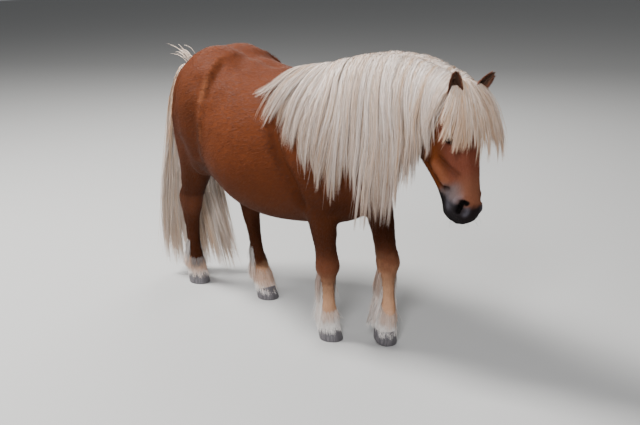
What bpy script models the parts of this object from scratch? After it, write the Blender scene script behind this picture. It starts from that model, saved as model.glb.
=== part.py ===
"""A still, life-size Shetland pony standing in mid stride: chestnut body, flaxen mane, forelock and tail.

Metres, +Z up. The pony faces +X with its left side towards +Y, and the floor is z = 0.
"""

import math
import random
from itertools import combinations, product

import bmesh
import bpy
from mathutils import Matrix, Vector
from mathutils.bvhtree import BVHTree

# Driving sizes
WITHERS_X, WITHERS_Z = 0.19, 0.965
CROUP_X, CROUP_Z = -0.33, 1.006
EYE_RADIUS = 0.0175
EAR_LENGTH, EAR_WIDTH, EAR_SHELL = 0.088, 0.023, 0.0028
HOOF_LENGTH, HOOF_WIDTH, HOOF_HEIGHT, CORONET_SHIFT = 0.090, 0.082, 0.050, 0.018
GAP = 0.0003

# Fineness of the flesh
VOXEL = 0.0065
RING_SIDES = 28
FLESH_SHARE, HEAD_WEIGHT, LEG_WEIGHT = 0.020, 0.92, 0.94

# The eye's middle on the head and its lids' depth, the nostrils, and the ends of the mouth's line
EYE_PLACE = (0.149, -0.019, 0.0630)
LID = 0.0036
NOSTRIL = (
    (0.363, -0.012, 0.040, (0.010, 0.015, 0.010), 12),
    (0.372, -0.017, 0.043, (0.010, 0.009, 0.009), -20),
)
MOUTH_CORNER, MOUTH_FRONT, MOUTH_GAP = (0.350, -0.076), (0.425, -0.052), 0.0016
EAR_ROOT = 0.022
TOE_FLAT = 0.0035
JOINER = "MANIFOLD"
FLAT = math.radians(0.3)
EARS = {
    "right": {"base": (0.822, -0.062, 0.962), "tip": (0.850, -0.088, 1.042), "facing": (0.70, -0.70, -0.10)},
    "left": {"base": (0.828, 0.034, 0.962), "tip": (0.862, 0.096, 1.022), "facing": (0.85, 0.10, -0.45)},
}
COAT = (0.20, 0.060, 0.022)
HORN = (0.050, 0.042, 0.040)
EYE_BROWN = (0.020, 0.010, 0.006)
FLAXEN = (0.62, 0.50, 0.38)

# Hair: how far it stands off the body, the step between layers, and the locks' thickness
HAIR_CLEAR, LAYER_STEP, LOCK_THICK, FLOOR_CLEAR = 0.006, 0.009, 0.006, 0.012
LOCK_SHARES = (0, 0.10, 0.23, 0.42, 0.70, 1)
SHORT_SHARES = (0, 0.30, 0.62, 1)
# The mane: ends of the crest, the ridge it roots in, and where the tips of each side's fall hang
CREST, MANE_RIDGE, MANE_RISE, MANE_SEED = (0.11, 0.795), 0.014, 0.036, 15
MANE_FALLS = (
    {"side": -1, "count": 18, "layers": 2, "shorter": 0.07, "width": 0.040, "tips": (
        (0.100, -0.215, 0.850), (0.175, -0.225, 0.790), (0.255, -0.220, 0.700), (0.330, -0.210, 0.640),
        (0.400, -0.190, 0.600), (0.465, -0.160, 0.545), (0.540, -0.140, 0.500), (0.600, -0.120, 0.500),
        (0.640, -0.110, 0.580), (0.690, -0.105, 0.640), (0.735, -0.105, 0.740), (0.775, -0.100, 0.820))},
    {"side": 1, "count": 11, "layers": 2, "shorter": 0.10, "width": 0.062, "tips": (
        (0.120, 0.150, 0.890), (0.200, 0.180, 0.840), (0.320, 0.190, 0.780), (0.440, 0.170, 0.730),
        (0.550, 0.130, 0.720), (0.640, 0.110, 0.740), (0.710, 0.100, 0.800), (0.765, 0.080, 0.880))},
)

# The forelock: the pad it roots in, and its tips from the right eye to the left cheek
FORELOCK = {"root": (0.836, -0.014), "spread": 0.044, "count": 5, "layers": 3, "width": 0.042, "tips": (
    (0.828, -0.125, 0.872), (0.858, -0.118, 0.838), (0.888, -0.085, 0.812), (0.912, -0.035, 0.782),
    (0.925, 0.020, 0.745), (0.922, 0.066, 0.752), (0.902, 0.095, 0.805))}
# The tail: the dock's middle line and radius, and where the tips hang, right to left
DOCK = (
    (-0.540, 0.0, 0.870, 0.032), (-0.580, 0.0, 0.892, 0.030), (-0.612, 0.0, 0.882, 0.028),
    (-0.630, 0.0, 0.840, 0.024), (-0.636, 0.0, 0.770, 0.019), (-0.634, 0.0, 0.690, 0.013),
)
TAIL = {"count": 10, "layers": 3, "width": 0.039, "tips": (
    (-0.682, -0.080, 0.070), (-0.687, -0.040, 0.035), (-0.672, 0.005, 0.018), (-0.632, 0.040, 0.014),
    (-0.575, 0.080, 0.014), (-0.512, 0.115, 0.016), (-0.460, 0.140, 0.030))}
# Long hair down the back of each leg: height of its root, side angles in degrees, length, flare
FEATHER = (
    (0.235, (0,), 0.085, 0.014), (0.200, (-36, 36), 0.080, 0.016),
    (0.155, (-66, -22, 22, 66), 0.080, 0.022), (0.115, (-80, -40, 0, 40, 80), 0.075, 0.026),
)
FEATHER_WIDTH = 0.026

# Where the body is parted: a point of the cut, the direction off the rest, and the part's box
CUTS = {
    "head": ((0.772, 0.0, 0.900), (0.93, 0.0, -0.36), (0.8, 0.6, 0.6)),
    "neck": ((0.350, 0.0, 0.790), (0.84, 0.0, 0.54), (0.9, 0.8, 0.9)),
    "leg_right_fore": ((0.320, -0.130, 0.425), (0, 0, -1), (0.240, 0.250, 0.6)),
    "leg_left_fore": ((0.400, 0.130, 0.425), (0, 0, -1), (0.280, 0.250, 0.6)),
    "leg_right_hind": ((-0.460, -0.130, 0.455), (0, 0, -1), (0.300, 0.250, 0.6)),
    "leg_left_hind": ((-0.330, 0.130, 0.445), (0, 0, -1), (0.400, 0.250, 0.6)),
}

# Torso sections, tail end to chest: x, top, bottom, half width, height of the widest line, fullness
TORSO = (
    (-0.590, 0.870, 0.720, 0.050, 0.79, 2.0),
    (-0.565, 0.905, 0.620, 0.100, 0.76, 2.0),
    (-0.510, 0.945, 0.560, 0.150, 0.75, 2.1),
    (-0.430, 0.980, 0.530, 0.196, 0.74, 2.1),
    (CROUP_X, CROUP_Z, 0.500, 0.238, 0.73, 2.2),
    (-0.200, 0.976, 0.448, 0.246, 0.68, 2.15),
    (-0.070, 0.946, 0.408, 0.278, 0.65, 2.2),
    (0.060, 0.938, 0.398, 0.270, 0.65, 2.2),
    (WITHERS_X, WITHERS_Z, 0.410, 0.232, 0.66, 2.1),
    (0.310, 0.950, 0.432, 0.195, 0.66, 2.1),
    (0.400, 0.880, 0.480, 0.165, 0.67, 2.2),
    (0.455, 0.800, 0.560, 0.115, 0.68, 2.0),
)

# Neck sections, withers to poll: crest x, crest z, throat x, throat z, half width, sideways shift
NECK = (
    (0.120, 0.940, 0.340, 0.560, 0.130, 0.000),
    (0.230, 0.970, 0.460, 0.600, 0.124, 0.000),
    (0.360, 1.012, 0.545, 0.670, 0.106, 0.000),
    (0.500, 1.040, 0.610, 0.735, 0.090, -0.002),
    (0.640, 1.040, 0.670, 0.790, 0.078, -0.006),
    (0.750, 1.016, 0.730, 0.820, 0.068, -0.010),
    (0.810, 0.980, 0.790, 0.850, 0.056, -0.014),
)

# Head sections along the face, poll to lips: distance, brow side, jaw side, half width, fullness
POLL = Vector((0.825, -0.016, 0.985))
HEAD_YAW, HEAD_PITCH = math.radians(-5), math.radians(11)
HEAD = (
    (-0.022, -0.030, -0.095, 0.030, 2.0),
    (0.000, -0.004, -0.125, 0.056, 2.1),
    (0.050, 0.014, -0.172, 0.073, 2.2),
    (0.110, 0.022, -0.208, 0.082, 2.3),
    (0.160, 0.020, -0.220, 0.081, 2.3),
    (0.210, 0.015, -0.206, 0.069, 2.3),
    (0.260, 0.011, -0.176, 0.057, 2.3),
    (0.310, 0.008, -0.148, 0.049, 2.3),
    (0.350, 0.006, -0.132, 0.049, 2.3),
    (0.385, 0.000, -0.126, 0.052, 2.3),
    (0.412, -0.014, -0.114, 0.045, 2.2),
    (0.430, -0.036, -0.092, 0.028, 2.0),
)

# Muscles and bones that show, on each side of the body: centre, radii, lean forward in degrees
BODY_SWELLINGS = {
    "shoulder": ((0.315, 0.112, 0.720), (0.080, 0.085, 0.190), -18),
    "upper arm": ((0.320, 0.108, 0.580), (0.095, 0.070, 0.090), 0),
    "haunch": ((-0.390, 0.110, 0.760), (0.100, 0.094, 0.180), 10),
    "hip point": ((-0.280, 0.150, 0.905), (0.060, 0.045, 0.040), 0),
    "stifle": ((-0.340, 0.135, 0.590), (0.060, 0.060, 0.090), -20),
}

# The same on the head: distance along the face, out, sideways, radii, lean
HEAD_SWELLINGS = {
    "cheek": (0.115, -0.095, 0.050, (0.072, 0.032, 0.075), 0),
    "brow": (0.128, -0.006, 0.060, (0.020, 0.018, 0.034), 0),
    "orbit": (0.150, -0.024, 0.046, (0.028, 0.028, 0.036), 0),
    "cheekbone": (0.205, -0.050, 0.048, (0.014, 0.016, 0.060), 0),
    "nostril": (0.370, -0.034, 0.034, (0.028, 0.018, 0.030), 0),
    "lower lip": (0.402, -0.096, 0.0, (0.024, 0.030, 0.026), 0),
}

# Leg sections, top to coronet: height, forward place, half width, forward radius, backward radius
FORELEG = (
    (0.640, -0.030, 0.075, 0.090, 0.090),
    (0.560, -0.015, 0.062, 0.082, 0.088),
    (0.500, 0.000, 0.054, 0.064, 0.072),
    (0.430, 0.005, 0.046, 0.050, 0.053),
    (0.365, 0.003, 0.040, 0.041, 0.041),
    (0.320, 0.000, 0.042, 0.040, 0.038),
    (0.285, 0.000, 0.045, 0.045, 0.040),
    (0.252, -0.002, 0.037, 0.037, 0.038),
    (0.215, -0.002, 0.027, 0.028, 0.035),
    (0.160, -0.003, 0.026, 0.027, 0.035),
    (0.118, -0.004, 0.034, 0.034, 0.041),
    (0.085, 0.002, 0.031, 0.031, 0.035),
    (0.055, 0.000, 0.036, 0.037, 0.037),
    (0.020, 0.000, 0.036, 0.037, 0.037),
)
HINDLEG = (
    (0.760, 0.080, 0.085, 0.120, 0.120),
    (0.660, 0.085, 0.080, 0.120, 0.125),
    (0.570, 0.080, 0.070, 0.105, 0.110),
    (0.500, 0.050, 0.058, 0.080, 0.078),
    (0.440, 0.025, 0.049, 0.060, 0.058),
    (0.385, 0.000, 0.044, 0.053, 0.062),
    (0.345, -0.004, 0.041, 0.048, 0.050),
    (0.300, -0.008, 0.033, 0.037, 0.040),
    (0.240, -0.008, 0.028, 0.030, 0.035),
    (0.165, -0.008, 0.028, 0.030, 0.036),
    (0.120, -0.006, 0.035, 0.035, 0.041),
    (0.085, 0.002, 0.031, 0.031, 0.035),
    (0.055, 0.000, 0.036, 0.037, 0.037),
    (0.020, 0.000, 0.036, 0.037, 0.037),
)

# Where each leg bends: knee or hock, fetlock and the middle of the sole
LEGS = {
    "right_fore": {"rows": FORELEG, "top": (0.285, -0.130), "middle": (0.303, -0.088, 0.285),
                   "fetlock": (0.286, -0.069, 0.116), "hoof": (0.300, -0.062, 0.0),
                   "turn": -4, "tip": 0, "flare": 0.35},
    "left_fore": {"rows": FORELEG, "top": (0.300, 0.125), "middle": (0.424, 0.096, 0.287),
                  "fetlock": (0.436, 0.087, 0.118), "hoof": (0.458, 0.052, 0.0),
                  "turn": -8, "tip": 20, "flare": 1.0},
    "right_hind": {"rows": HINDLEG, "top": (-0.480, -0.120), "middle": (-0.488, -0.088, 0.370),
                   "fetlock": (-0.520, -0.058, 0.119), "hoof": (-0.508, -0.046, 0.0),
                   "turn": -2, "tip": 0, "flare": 0.5},
    "left_hind": {"rows": HINDLEG, "top": (-0.420, 0.125), "middle": (-0.322, 0.088, 0.325),
                  "fetlock": (-0.246, 0.064, 0.108), "hoof": (-0.172, 0.042, 0.0),
                  "turn": -4, "tip": 0, "flare": 0.6},
}


def clear_scene():
    for thing in list(bpy.data.objects):
        bpy.data.objects.remove(thing, do_unlink=True)


def spline(rows, count):
    """The rows of a table, drawn through by a smooth curve and read at evenly shared places."""
    found = []
    last = len(rows) - 1
    for i in range(count):
        place = last * i / (count - 1)
        k = min(int(place), last - 1)
        t = place - k
        before, start = rows[max(k - 1, 0)], rows[k]
        end, after = rows[k + 1], rows[min(k + 2, last)]
        found.append(tuple(
            0.5 * (2 * b + (c - a) * t + (2 * a - 5 * b + 4 * c - d) * t ** 2
                   + (3 * b - a - 3 * c + d) * t ** 3)
            for a, b, c, d in zip(before, start, end, after)
        ))
    return found


def section(centre, side, up, half_width, rise, drop, fullness):
    """One closed ring: a rounded oval with its own height above and below its centre."""
    points = []
    for i in range(RING_SIDES):
        angle = 2 * math.pi * i / RING_SIDES
        c, s = math.cos(angle), math.sin(angle)
        across = half_width * math.copysign(abs(c) ** (2 / fullness), c)
        along = (rise if s > 0 else drop) * math.copysign(abs(s) ** (2 / fullness), s)
        points.append(centre + side * across + up * along)
    return points


def loft(mesh, rings):
    """Skins a row of rings in the bmesh and closes both ends."""
    loops = [[mesh.verts.new(p) for p in ring] for ring in rings]
    faces = [mesh.faces.new(loops[0]), mesh.faces.new(loops[-1])]
    for a, b in zip(loops, loops[1:]):
        for i in range(len(a)):
            j = (i + 1) % len(a)
            faces.append(mesh.faces.new((a[i], a[j], b[j], b[i])))
    bmesh.ops.recalc_face_normals(mesh, faces=faces)


def add_torso(mesh):
    rings = []
    for x, top, bottom, half, widest, fullness in spline(TORSO, 40):
        rings.append(section(Vector((x, 0, widest)), Vector((0, 1, 0)), Vector((0, 0, 1)),
                             half, top - widest, widest - bottom, fullness))
    loft(mesh, rings)


def add_neck(mesh):
    rings = []
    for crest_x, crest_z, throat_x, throat_z, half, shift in spline(NECK, 26):
        crest, throat = Vector((crest_x, shift, crest_z)), Vector((throat_x, shift, throat_z))
        up = (crest - throat).normalized()
        tall = (crest - throat).length
        centre = throat + up * tall * 0.45
        rings.append(section(centre, Vector((0, 1, 0)), up, half, tall * 0.55, tall * 0.45, 2.1))
    loft(mesh, rings)


def head_axes():
    """The directions along the face, out of the forehead, and to the pony's left."""
    ahead = Vector((math.cos(HEAD_YAW), math.sin(HEAD_YAW), 0))
    left = Vector((-math.sin(HEAD_YAW), math.cos(HEAD_YAW), 0))
    along = ahead * math.sin(HEAD_PITCH) - Vector((0, 0, 1)) * math.cos(HEAD_PITCH)
    out = ahead * math.cos(HEAD_PITCH) + Vector((0, 0, 1)) * math.sin(HEAD_PITCH)
    return along, out, left


def on_head(along, out, left):
    """A point of the head, given in its own directions from the poll."""
    a, b, c = head_axes()
    return POLL + a * along + b * out + c * left


def add_head(mesh):
    along, out, left = head_axes()
    rings = []
    for place, brow, jaw, half, fullness in spline(HEAD, 40):
        centre_out = jaw + (brow - jaw) * 0.58
        rings.append(section(POLL + along * place + out * centre_out, left, out,
                             half, brow - centre_out, centre_out - jaw, fullness))
    loft(mesh, rings)


def leg_centre(leg, height):
    """The middle of the leg at a height, from its top, its knee or hock, its fetlock and its hoof."""
    stops = [
        (leg["rows"][0][0], Vector(leg["top"])),
        (leg["middle"][2], Vector(leg["middle"][:2])),
        (leg["fetlock"][2], Vector(leg["fetlock"][:2])),
        (HOOF_HEIGHT, (hoof_frame(leg) @ Vector((-CORONET_SHIFT, 0, coronet(0)))).to_2d()),
        (0.0, (hoof_frame(leg) @ Vector((0, 0, 0))).to_2d()),
    ]
    for (high, start), (low, end) in zip(stops, stops[1:]):
        if height >= low:
            return start.lerp(end, min(max((high - height) / (high - low), 0), 1))
    return stops[-1][1]


def add_leg(mesh, leg):
    rings = []
    for height, ahead, half, front, back in spline(leg["rows"], 48):
        middle = leg_centre(leg, height)
        centre = Vector((middle.x + ahead, middle.y, height))
        rings.append(section(centre, Vector((0, 1, 0)), Vector((1, 0, 0)), half, front, back, 2.0))
    loft(mesh, rings)


def add_swelling(mesh, centre, radii, turn):
    """One rounded muscle or bone under the skin; the turn leans it about the sideways axis."""
    place = Matrix.Translation(centre) @ Matrix.Rotation(turn, 4, "Y") @ Matrix.Diagonal((*radii, 1))
    bmesh.ops.create_icosphere(mesh, subdivisions=3, radius=1, matrix=place)


def add_swellings(mesh):
    for name, (centre, radii, turn) in BODY_SWELLINGS.items():
        for side in (-1, 1):
            add_swelling(mesh, Vector((centre[0], centre[1] * side, centre[2])), radii, math.radians(turn))
    for name, (along, out, left, radii, turn) in HEAD_SWELLINGS.items():
        for side in ((-1, 1) if left else (0,)):
            add_swelling(mesh, on_head(along, out, left * side), radii, math.radians(turn))


def new_object(name, mesh, collection):
    """Puts a bmesh in an object of its own."""
    data = bpy.data.meshes.new(name)
    mesh.to_mesh(data)
    mesh.free()
    thing = bpy.data.objects.new(name, data)
    collection.objects.link(thing)
    return thing


def settle(thing):
    """Makes an object's modifiers part of its mesh."""
    depsgraph = bpy.context.evaluated_depsgraph_get()
    data = bpy.data.meshes.new_from_object(thing.evaluated_get(depsgraph))
    old = thing.data
    thing.modifiers.clear()
    thing.data = data
    data.name = thing.name
    bpy.data.meshes.remove(old)
    return thing


def copied(thing, name, collection):
    twin = thing.copy()
    twin.data = thing.data.copy()
    twin.name = name
    collection.objects.link(twin)
    return twin


def grown(thing, amount, collection):
    """A copy of a solid with its surface moved out by a small amount."""
    twin = copied(thing, thing.name + "_grown", collection)
    mesh = bmesh.new()
    mesh.from_mesh(twin.data)
    mesh.normal_update()
    moved = [v.co + v.normal * amount * min(v.calc_shell_factor(), 2.0) for v in mesh.verts]
    for v, place in zip(mesh.verts, moved):
        v.co = place
    mesh.to_mesh(twin.data)
    mesh.free()
    return twin


def boolean(thing, others, operation, solver="EXACT"):
    """Joins or cuts an object with closed meshes, which are then removed."""
    tools = bpy.data.collections.new("tools")
    bpy.context.scene.collection.children.link(tools)
    for other in others:
        for home in list(other.users_collection):
            home.objects.unlink(other)
        tools.objects.link(other)
    step = thing.modifiers.new(operation.lower(), "BOOLEAN")
    step.operation = operation
    step.solver = solver
    step.operand_type = "COLLECTION"
    step.collection = tools
    settle(thing)
    for other in list(tools.objects):
        bpy.data.objects.remove(other, do_unlink=True)
    bpy.data.collections.remove(tools)
    return thing


def surfaces(mesh):
    """The faces of a bmesh, grouped by the closed surface they belong to."""
    groups, seen = [], set()
    for face in mesh.faces:
        if face in seen:
            continue
        seen.add(face)
        group, queue = [], [face]
        while queue:
            here = queue.pop()
            group.append(here)
            for edge in here.edges:
                for near in edge.link_faces:
                    if near not in seen:
                        seen.add(near)
                        queue.append(near)
        groups.append(group)
    return groups


def turn_diagonal(mesh, edge):
    """Where two faces were both cut along one edge, cuts one of them the other way."""
    for a, b in combinations(list(edge.link_faces), 2):
        if a.normal.dot(b.normal) < 0.999:
            continue
        start = next(loop for loop in a.loops if loop.edge is edge)
        p, q, c = start.vert, start.link_loop_next.vert, start.link_loop_prev.vert
        d = next(v for v in b.verts if v not in (p, q))
        first, second = (c.co - q.co).cross(d.co - q.co), (p.co - c.co).cross(d.co - c.co)
        if c is d or mesh.edges.get((c, d)) or min(first.dot(a.normal), second.dot(a.normal)) <= 0:
            continue
        mesh.faces.remove(a)
        mesh.faces.remove(b)
        mesh.faces.new((q, c, d))
        mesh.faces.new((c, p, d))
        return


def cleaned(mesh, flat, corners):
    """A copy of a bmesh without slivers and needless edges, in triangles."""
    trial = mesh.copy()
    bmesh.ops.dissolve_degenerate(trial, dist=0.00001, edges=trial.edges)
    if flat:
        bmesh.ops.dissolve_limit(trial, angle_limit=flat, use_dissolve_boundaries=False,
                                 verts=trial.verts, edges=trial.edges)
    bmesh.ops.triangulate(trial, faces=trial.faces, ngon_method=corners)
    for edge in [e for e in trial.edges if len(e.link_faces) > 2]:
        turn_diagonal(trial, edge)
    return trial


def keep_largest(thing):
    """Drops loose scraps and sealed hollows, so that the object is one closed body."""
    mesh = bmesh.new()
    mesh.from_mesh(thing.data)

    def volume(group):
        return sum(f.calc_area() * f.normal.dot(f.calc_center_median()) for f in group)

    groups = surfaces(mesh)
    best = max(groups, key=volume)
    loose = [f for group in groups if group is not best for f in group]
    bmesh.ops.delete(mesh, geom=loose, context="FACES")
    for flat, corners in product((FLAT, FLAT / 4, 0), ("BEAUTY", "EAR_CLIP")):
        trial = cleaned(mesh, flat, corners)
        trial.to_mesh(thing.data)
        closed = all(len(edge.link_faces) == 2 for edge in trial.edges)
        trial.free()
        if closed:
            break
    mesh.free()
    return thing


def add_flesh():
    """The whole body as one skin, finer on the head than elsewhere."""
    mesh = bmesh.new()
    add_torso(mesh)
    add_neck(mesh)
    add_head(mesh)
    for leg in LEGS.values():
        add_leg(mesh, leg)
    add_swellings(mesh)
    thing = new_object("flesh", mesh, guides)
    whole = thing.modifiers.new("whole", "REMESH")
    whole.mode = "VOXEL"
    whole.voxel_size = VOXEL
    soften = thing.modifiers.new("soften", "SMOOTH")
    soften.factor = 0.5
    soften.iterations = 6
    settle(thing)
    broad = thing.vertex_groups.new(name="broad")
    coarse = thing.vertex_groups.new(name="coarse")
    for v in thing.data.vertices:
        ahead = (v.co - POLL).dot(Vector((1, 0, -0.3))) + 0.07
        on_body = min(max((v.co.z - 0.45) / 0.1, 0), 1) * min(max(-ahead / 0.05, 0), 1)
        broad.add((v.index,), on_body, "REPLACE")
        coarse.add((v.index,), HEAD_WEIGHT if ahead > 0.04 else (LEG_WEIGHT if v.co.z < 0.45 else 1.0), "REPLACE")
    blend = thing.modifiers.new("blend", "SMOOTH")
    blend.factor = 0.5
    blend.iterations = 45
    blend.vertex_group = broad.name
    fewer = thing.modifiers.new("fewer", "DECIMATE")
    fewer.ratio = FLESH_SHARE
    fewer.vertex_group = coarse.name
    fewer.vertex_group_factor = 1.0
    settle(thing)
    return thing


def paint(thing, name, colour, roughness):
    """Gives an object a plain material of its own."""
    finish = bpy.data.materials.new(name)
    finish.use_nodes = True
    shader = finish.node_tree.nodes["Principled BSDF"]
    shader.inputs["Base Color"].default_value = (*colour, 1)
    shader.inputs["Roughness"].default_value = roughness
    shader.inputs["Metallic"].default_value = 0
    thing.data.materials.clear()
    thing.data.materials.append(finish)


def block(point, normal, size, away):
    """A box with one face through a point, standing out from it along the normal."""
    turn = normal.to_track_quat("Z", "Y").to_matrix().to_4x4()
    centre = point + normal * (size[2] / 2 + away)
    mesh = bmesh.new()
    bmesh.ops.create_cube(mesh, size=1, matrix=Matrix.Translation(centre) @ turn @ Matrix.Diagonal((*size, 1)))
    thing = new_object("block", mesh, guides)
    thing.hide_render = True
    thing.display_type = "WIRE"
    return thing


def divide(rest, name, point, normal, size):
    """Cuts a named part off the rest, leaving the thin gap between them."""
    part = copied(rest, name, pony)
    boolean(part, [block(point, normal, size, GAP / 2)], "INTERSECT")
    boolean(rest, [block(point, normal, size, -GAP / 2)], "DIFFERENCE")
    keep_largest(part)
    return part


def divide_body(flesh):
    """Head, neck and legs come off the flesh, and the torso is what stays."""
    parts = {}
    torso = copied(flesh, "torso", pony)
    for name, (point, normal, size) in CUTS.items():
        parts[name] = divide(torso, name, Vector(point), Vector(normal).normalized(), size)
    parts["torso"] = keep_largest(torso)
    return parts


def hoof_frame(leg):
    """Where a hoof stands: the middle of its sole, turned out and tipped on its toe."""
    x, y, z = leg["hoof"]
    tip = math.radians(leg["tip"])
    toe = Matrix.Translation((HOOF_LENGTH * 0.5, 0, 0))
    tipped = toe @ Matrix.Rotation(tip, 4, "Y") @ toe.inverted()
    return Matrix.Translation((x, y, z)) @ Matrix.Rotation(math.radians(leg["turn"]), 4, "Z") @ tipped


def coronet(x):
    """Height of the top of a hoof, lower at the heels, from the place along the hoof."""
    return HOOF_HEIGHT * (0.86 + 0.30 * x / (HOOF_LENGTH / 2))


def add_hoof(name, leg):
    """A hoof wall that flares from the coronet to a flat sole."""
    mesh = bmesh.new()
    rings = []
    for share in (0, 0.08, 0.5, 1):
        ring = []
        size = 1 - 0.14 * share - (0.03 if share == 0 else 0)
        for i in range(20):
            angle = 2 * math.pi * i / 20
            x = math.cos(angle) * HOOF_LENGTH / 2 * size
            y = math.sin(angle) * HOOF_WIDTH / 2 * size * (1.04 - 0.06 * math.cos(angle))
            x = max(x, -HOOF_LENGTH * 0.43 * size)
            x -= CORONET_SHIFT * share
            ring.append(Vector((x, y, coronet(x) * share)))
        rings.append(ring)
    loft(mesh, rings)
    mesh.transform(hoof_frame(leg))
    thing = new_object("hoof_" + name, mesh, pony)
    if leg["tip"]:
        for v in thing.data.vertices:
            v.co.z -= TOE_FLAT
        floor = block(Vector((leg["hoof"][0], leg["hoof"][1], 0)), Vector((0, 0, -1)), (0.3, 0.3, 0.1), 0)
        boolean(thing, [floor], "DIFFERENCE")
    return keep_largest(thing)


def cut_at_coronet(thing, leg):
    """Ends the leg on the hoof's top face."""
    frame = hoof_frame(leg)
    lean = frame.to_3x3()
    normal = (lean @ Vector((HOOF_HEIGHT * 0.30 / (HOOF_LENGTH / 2), 0, -1))).normalized()
    point = frame @ Vector((0, 0, coronet(0))) - normal * GAP
    if leg["tip"]:
        point.z -= TOE_FLAT
    boolean(thing, [block(point, normal, (0.16, 0.16, 0.12), 0)], "DIFFERENCE")
    keep_largest(thing)


def ball(centre, radii, matrix=None, sides=12, rows=8):
    """A round cutter or lump, as an object."""
    mesh = bmesh.new()
    place = Matrix.Translation(centre) @ (matrix or Matrix()) @ Matrix.Diagonal((*radii, 1))
    bmesh.ops.create_uvsphere(mesh, u_segments=sides, v_segments=rows, radius=1, matrix=place)
    return new_object("ball", mesh, guides)


def head_turn():
    """The head's own directions as a rotation: to its right, down the face, out."""
    along, out, left = head_axes()
    return Matrix((-left, along, out)).transposed().to_4x4()


def eye_centre(side):
    return on_head(EYE_PLACE[0], EYE_PLACE[1], EYE_PLACE[2] * side)


def eye_turn(side):
    """Turns a shape so that its Z points out of the eye and its Y down the face."""
    along, out, left = head_axes()
    gaze = (left * side + out * 0.42 - along * 0.05).normalized()
    across = along.cross(gaze).normalized()
    down = gaze.cross(across)
    return Matrix((across, down, gaze)).transposed().to_4x4()


def add_eye(name, side):
    thing = ball(eye_centre(side), (EYE_RADIUS,) * 3, eye_turn(side), 12, 8)
    thing.name = thing.data.name = "eye_" + name
    guides.objects.unlink(thing)
    pony.objects.link(thing)
    return keep_largest(thing)


def shape_head(head):
    """Lids round each eye, nostrils, and the line of the mouth between the lips."""
    lids, hollows = [], []
    for side in (-1, 1):
        turn, centre = eye_turn(side), eye_centre(side)
        lid = EYE_RADIUS + LID
        lids.append(ball(centre, (lid, lid * 1.04, lid), turn, 12, 8))
        hollows.append(ball(centre, (EYE_RADIUS + GAP,) * 3, turn, 12, 8))
        opening = Matrix.Translation(turn.to_3x3() @ Vector((0, 0, EYE_RADIUS * 1.1)))
        hollows.append(ball(opening @ centre, (EYE_RADIUS * 0.56, EYE_RADIUS * 0.86, EYE_RADIUS * 0.9), turn, 10, 6))
        for along, out, left, radii, roll in NOSTRIL:
            place = head_turn() @ Matrix.Rotation(math.radians(-roll * side), 4, "Z")
            hollows.append(ball(on_head(along, out, left * side), radii, place, 10, 6))
    boolean(head, lids, "UNION")
    boolean(head, hollows, "DIFFERENCE")
    boolean(head, [mouth_line()], "DIFFERENCE")
    return keep_largest(head)


def mouth_line():
    """A thin bent strip round the front of the muzzle, in the plane between the lips."""
    along, out, left = head_axes()
    corner, front = on_head(*MOUTH_CORNER, 0), on_head(*MOUTH_FRONT, 0)
    ahead = (front - corner).normalized()
    reach = (front - corner).length
    mesh = bmesh.new()
    rings = []
    for i in range(15):
        angle = math.radians(-100 + 200 * i / 14)
        inner = corner + ahead * reach * 0.78 * math.cos(angle) + left * 0.030 * math.sin(angle)
        outer = corner + ahead * (reach + 0.03) * math.cos(angle) + left * 0.075 * math.sin(angle)
        rings.append((mesh.verts.new(inner), mesh.verts.new(outer)))
    for a, b in zip(rings, rings[1:]):
        mesh.faces.new((a[0], a[1], b[1], b[0]))
    thing = new_object("mouth", mesh, guides)
    thick = thing.modifiers.new("thick", "SOLIDIFY")
    thick.thickness = MOUTH_GAP
    thick.offset = 0
    return settle(thing)


def add_ear(name, ear):
    """A cupped shell, rolled at its base and open towards the front, that narrows to a point."""
    base, tip, facing = (Vector(ear[key]) for key in ("base", "tip", "facing"))
    up = (tip - base).normalized()
    facing = (facing - up * facing.dot(up)).normalized()
    across = up.cross(facing)
    mesh = bmesh.new()
    grid = []
    for i in range(6):
        t = i / 5
        wide = EAR_WIDTH * (0.62 + 1.25 * t - 0.4 * t ** 2) * (1 - t ** 3.2) ** 0.62 + 0.0022
        half = math.radians(150 - 75 * min(t * 1.6, 1))
        centre = base + up * (EAR_LENGTH + EAR_ROOT) * (t - EAR_ROOT / EAR_LENGTH)
        centre += facing * 0.010 * math.sin(math.pi * t)
        row = []
        for j in range(7):
            angle = half * (j / 3 - 1)
            row.append(mesh.verts.new(centre - facing * wide * 0.75 * math.cos(angle)
                                      + across * wide * math.sin(angle)))
        grid.append(row)
    for a, b in zip(grid, grid[1:]):
        for j in range(6):
            mesh.faces.new((a[j], a[j + 1], b[j + 1], b[j]))
    thing = new_object("ear_" + name, mesh, pony)
    thick = thing.modifiers.new("thick", "SOLIDIFY")
    thick.thickness = EAR_SHELL
    thick.offset = 0
    settle(thing)
    mesh = bmesh.new()
    mesh.from_mesh(thing.data)
    bmesh.ops.recalc_face_normals(mesh, faces=mesh.faces)
    mesh.to_mesh(thing.data)
    mesh.free()
    return thing


class Hide:
    """The finished body's surface, for laying hair on it."""

    def __init__(self, things):
        points, faces = [], []
        for thing in things:
            start = len(points)
            points += [v.co.copy() for v in thing.data.vertices]
            faces += [tuple(start + i for i in p.vertices) for p in thing.data.polygons]
        self.tree = BVHTree.FromPolygons(points, faces)

    def top(self, x, y):
        """The highest point of the body over a place."""
        return self.tree.ray_cast(Vector((x, y, 2)), Vector((0, 0, -1)))[0]

    def clear(self, point, distance):
        """Moves a point out of the body until it stands clear by a distance."""
        near, normal, _, _ = self.tree.find_nearest(point)
        out = point - near
        if out.dot(normal) < 0 or out.length < distance:
            return near + normal * distance
        return point

    def normal(self, point):
        near, normal, _, _ = self.tree.find_nearest(point)
        out = point - near
        return out.normalized() if out.length > 0.004 and out.dot(normal) > 0 else normal


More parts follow.
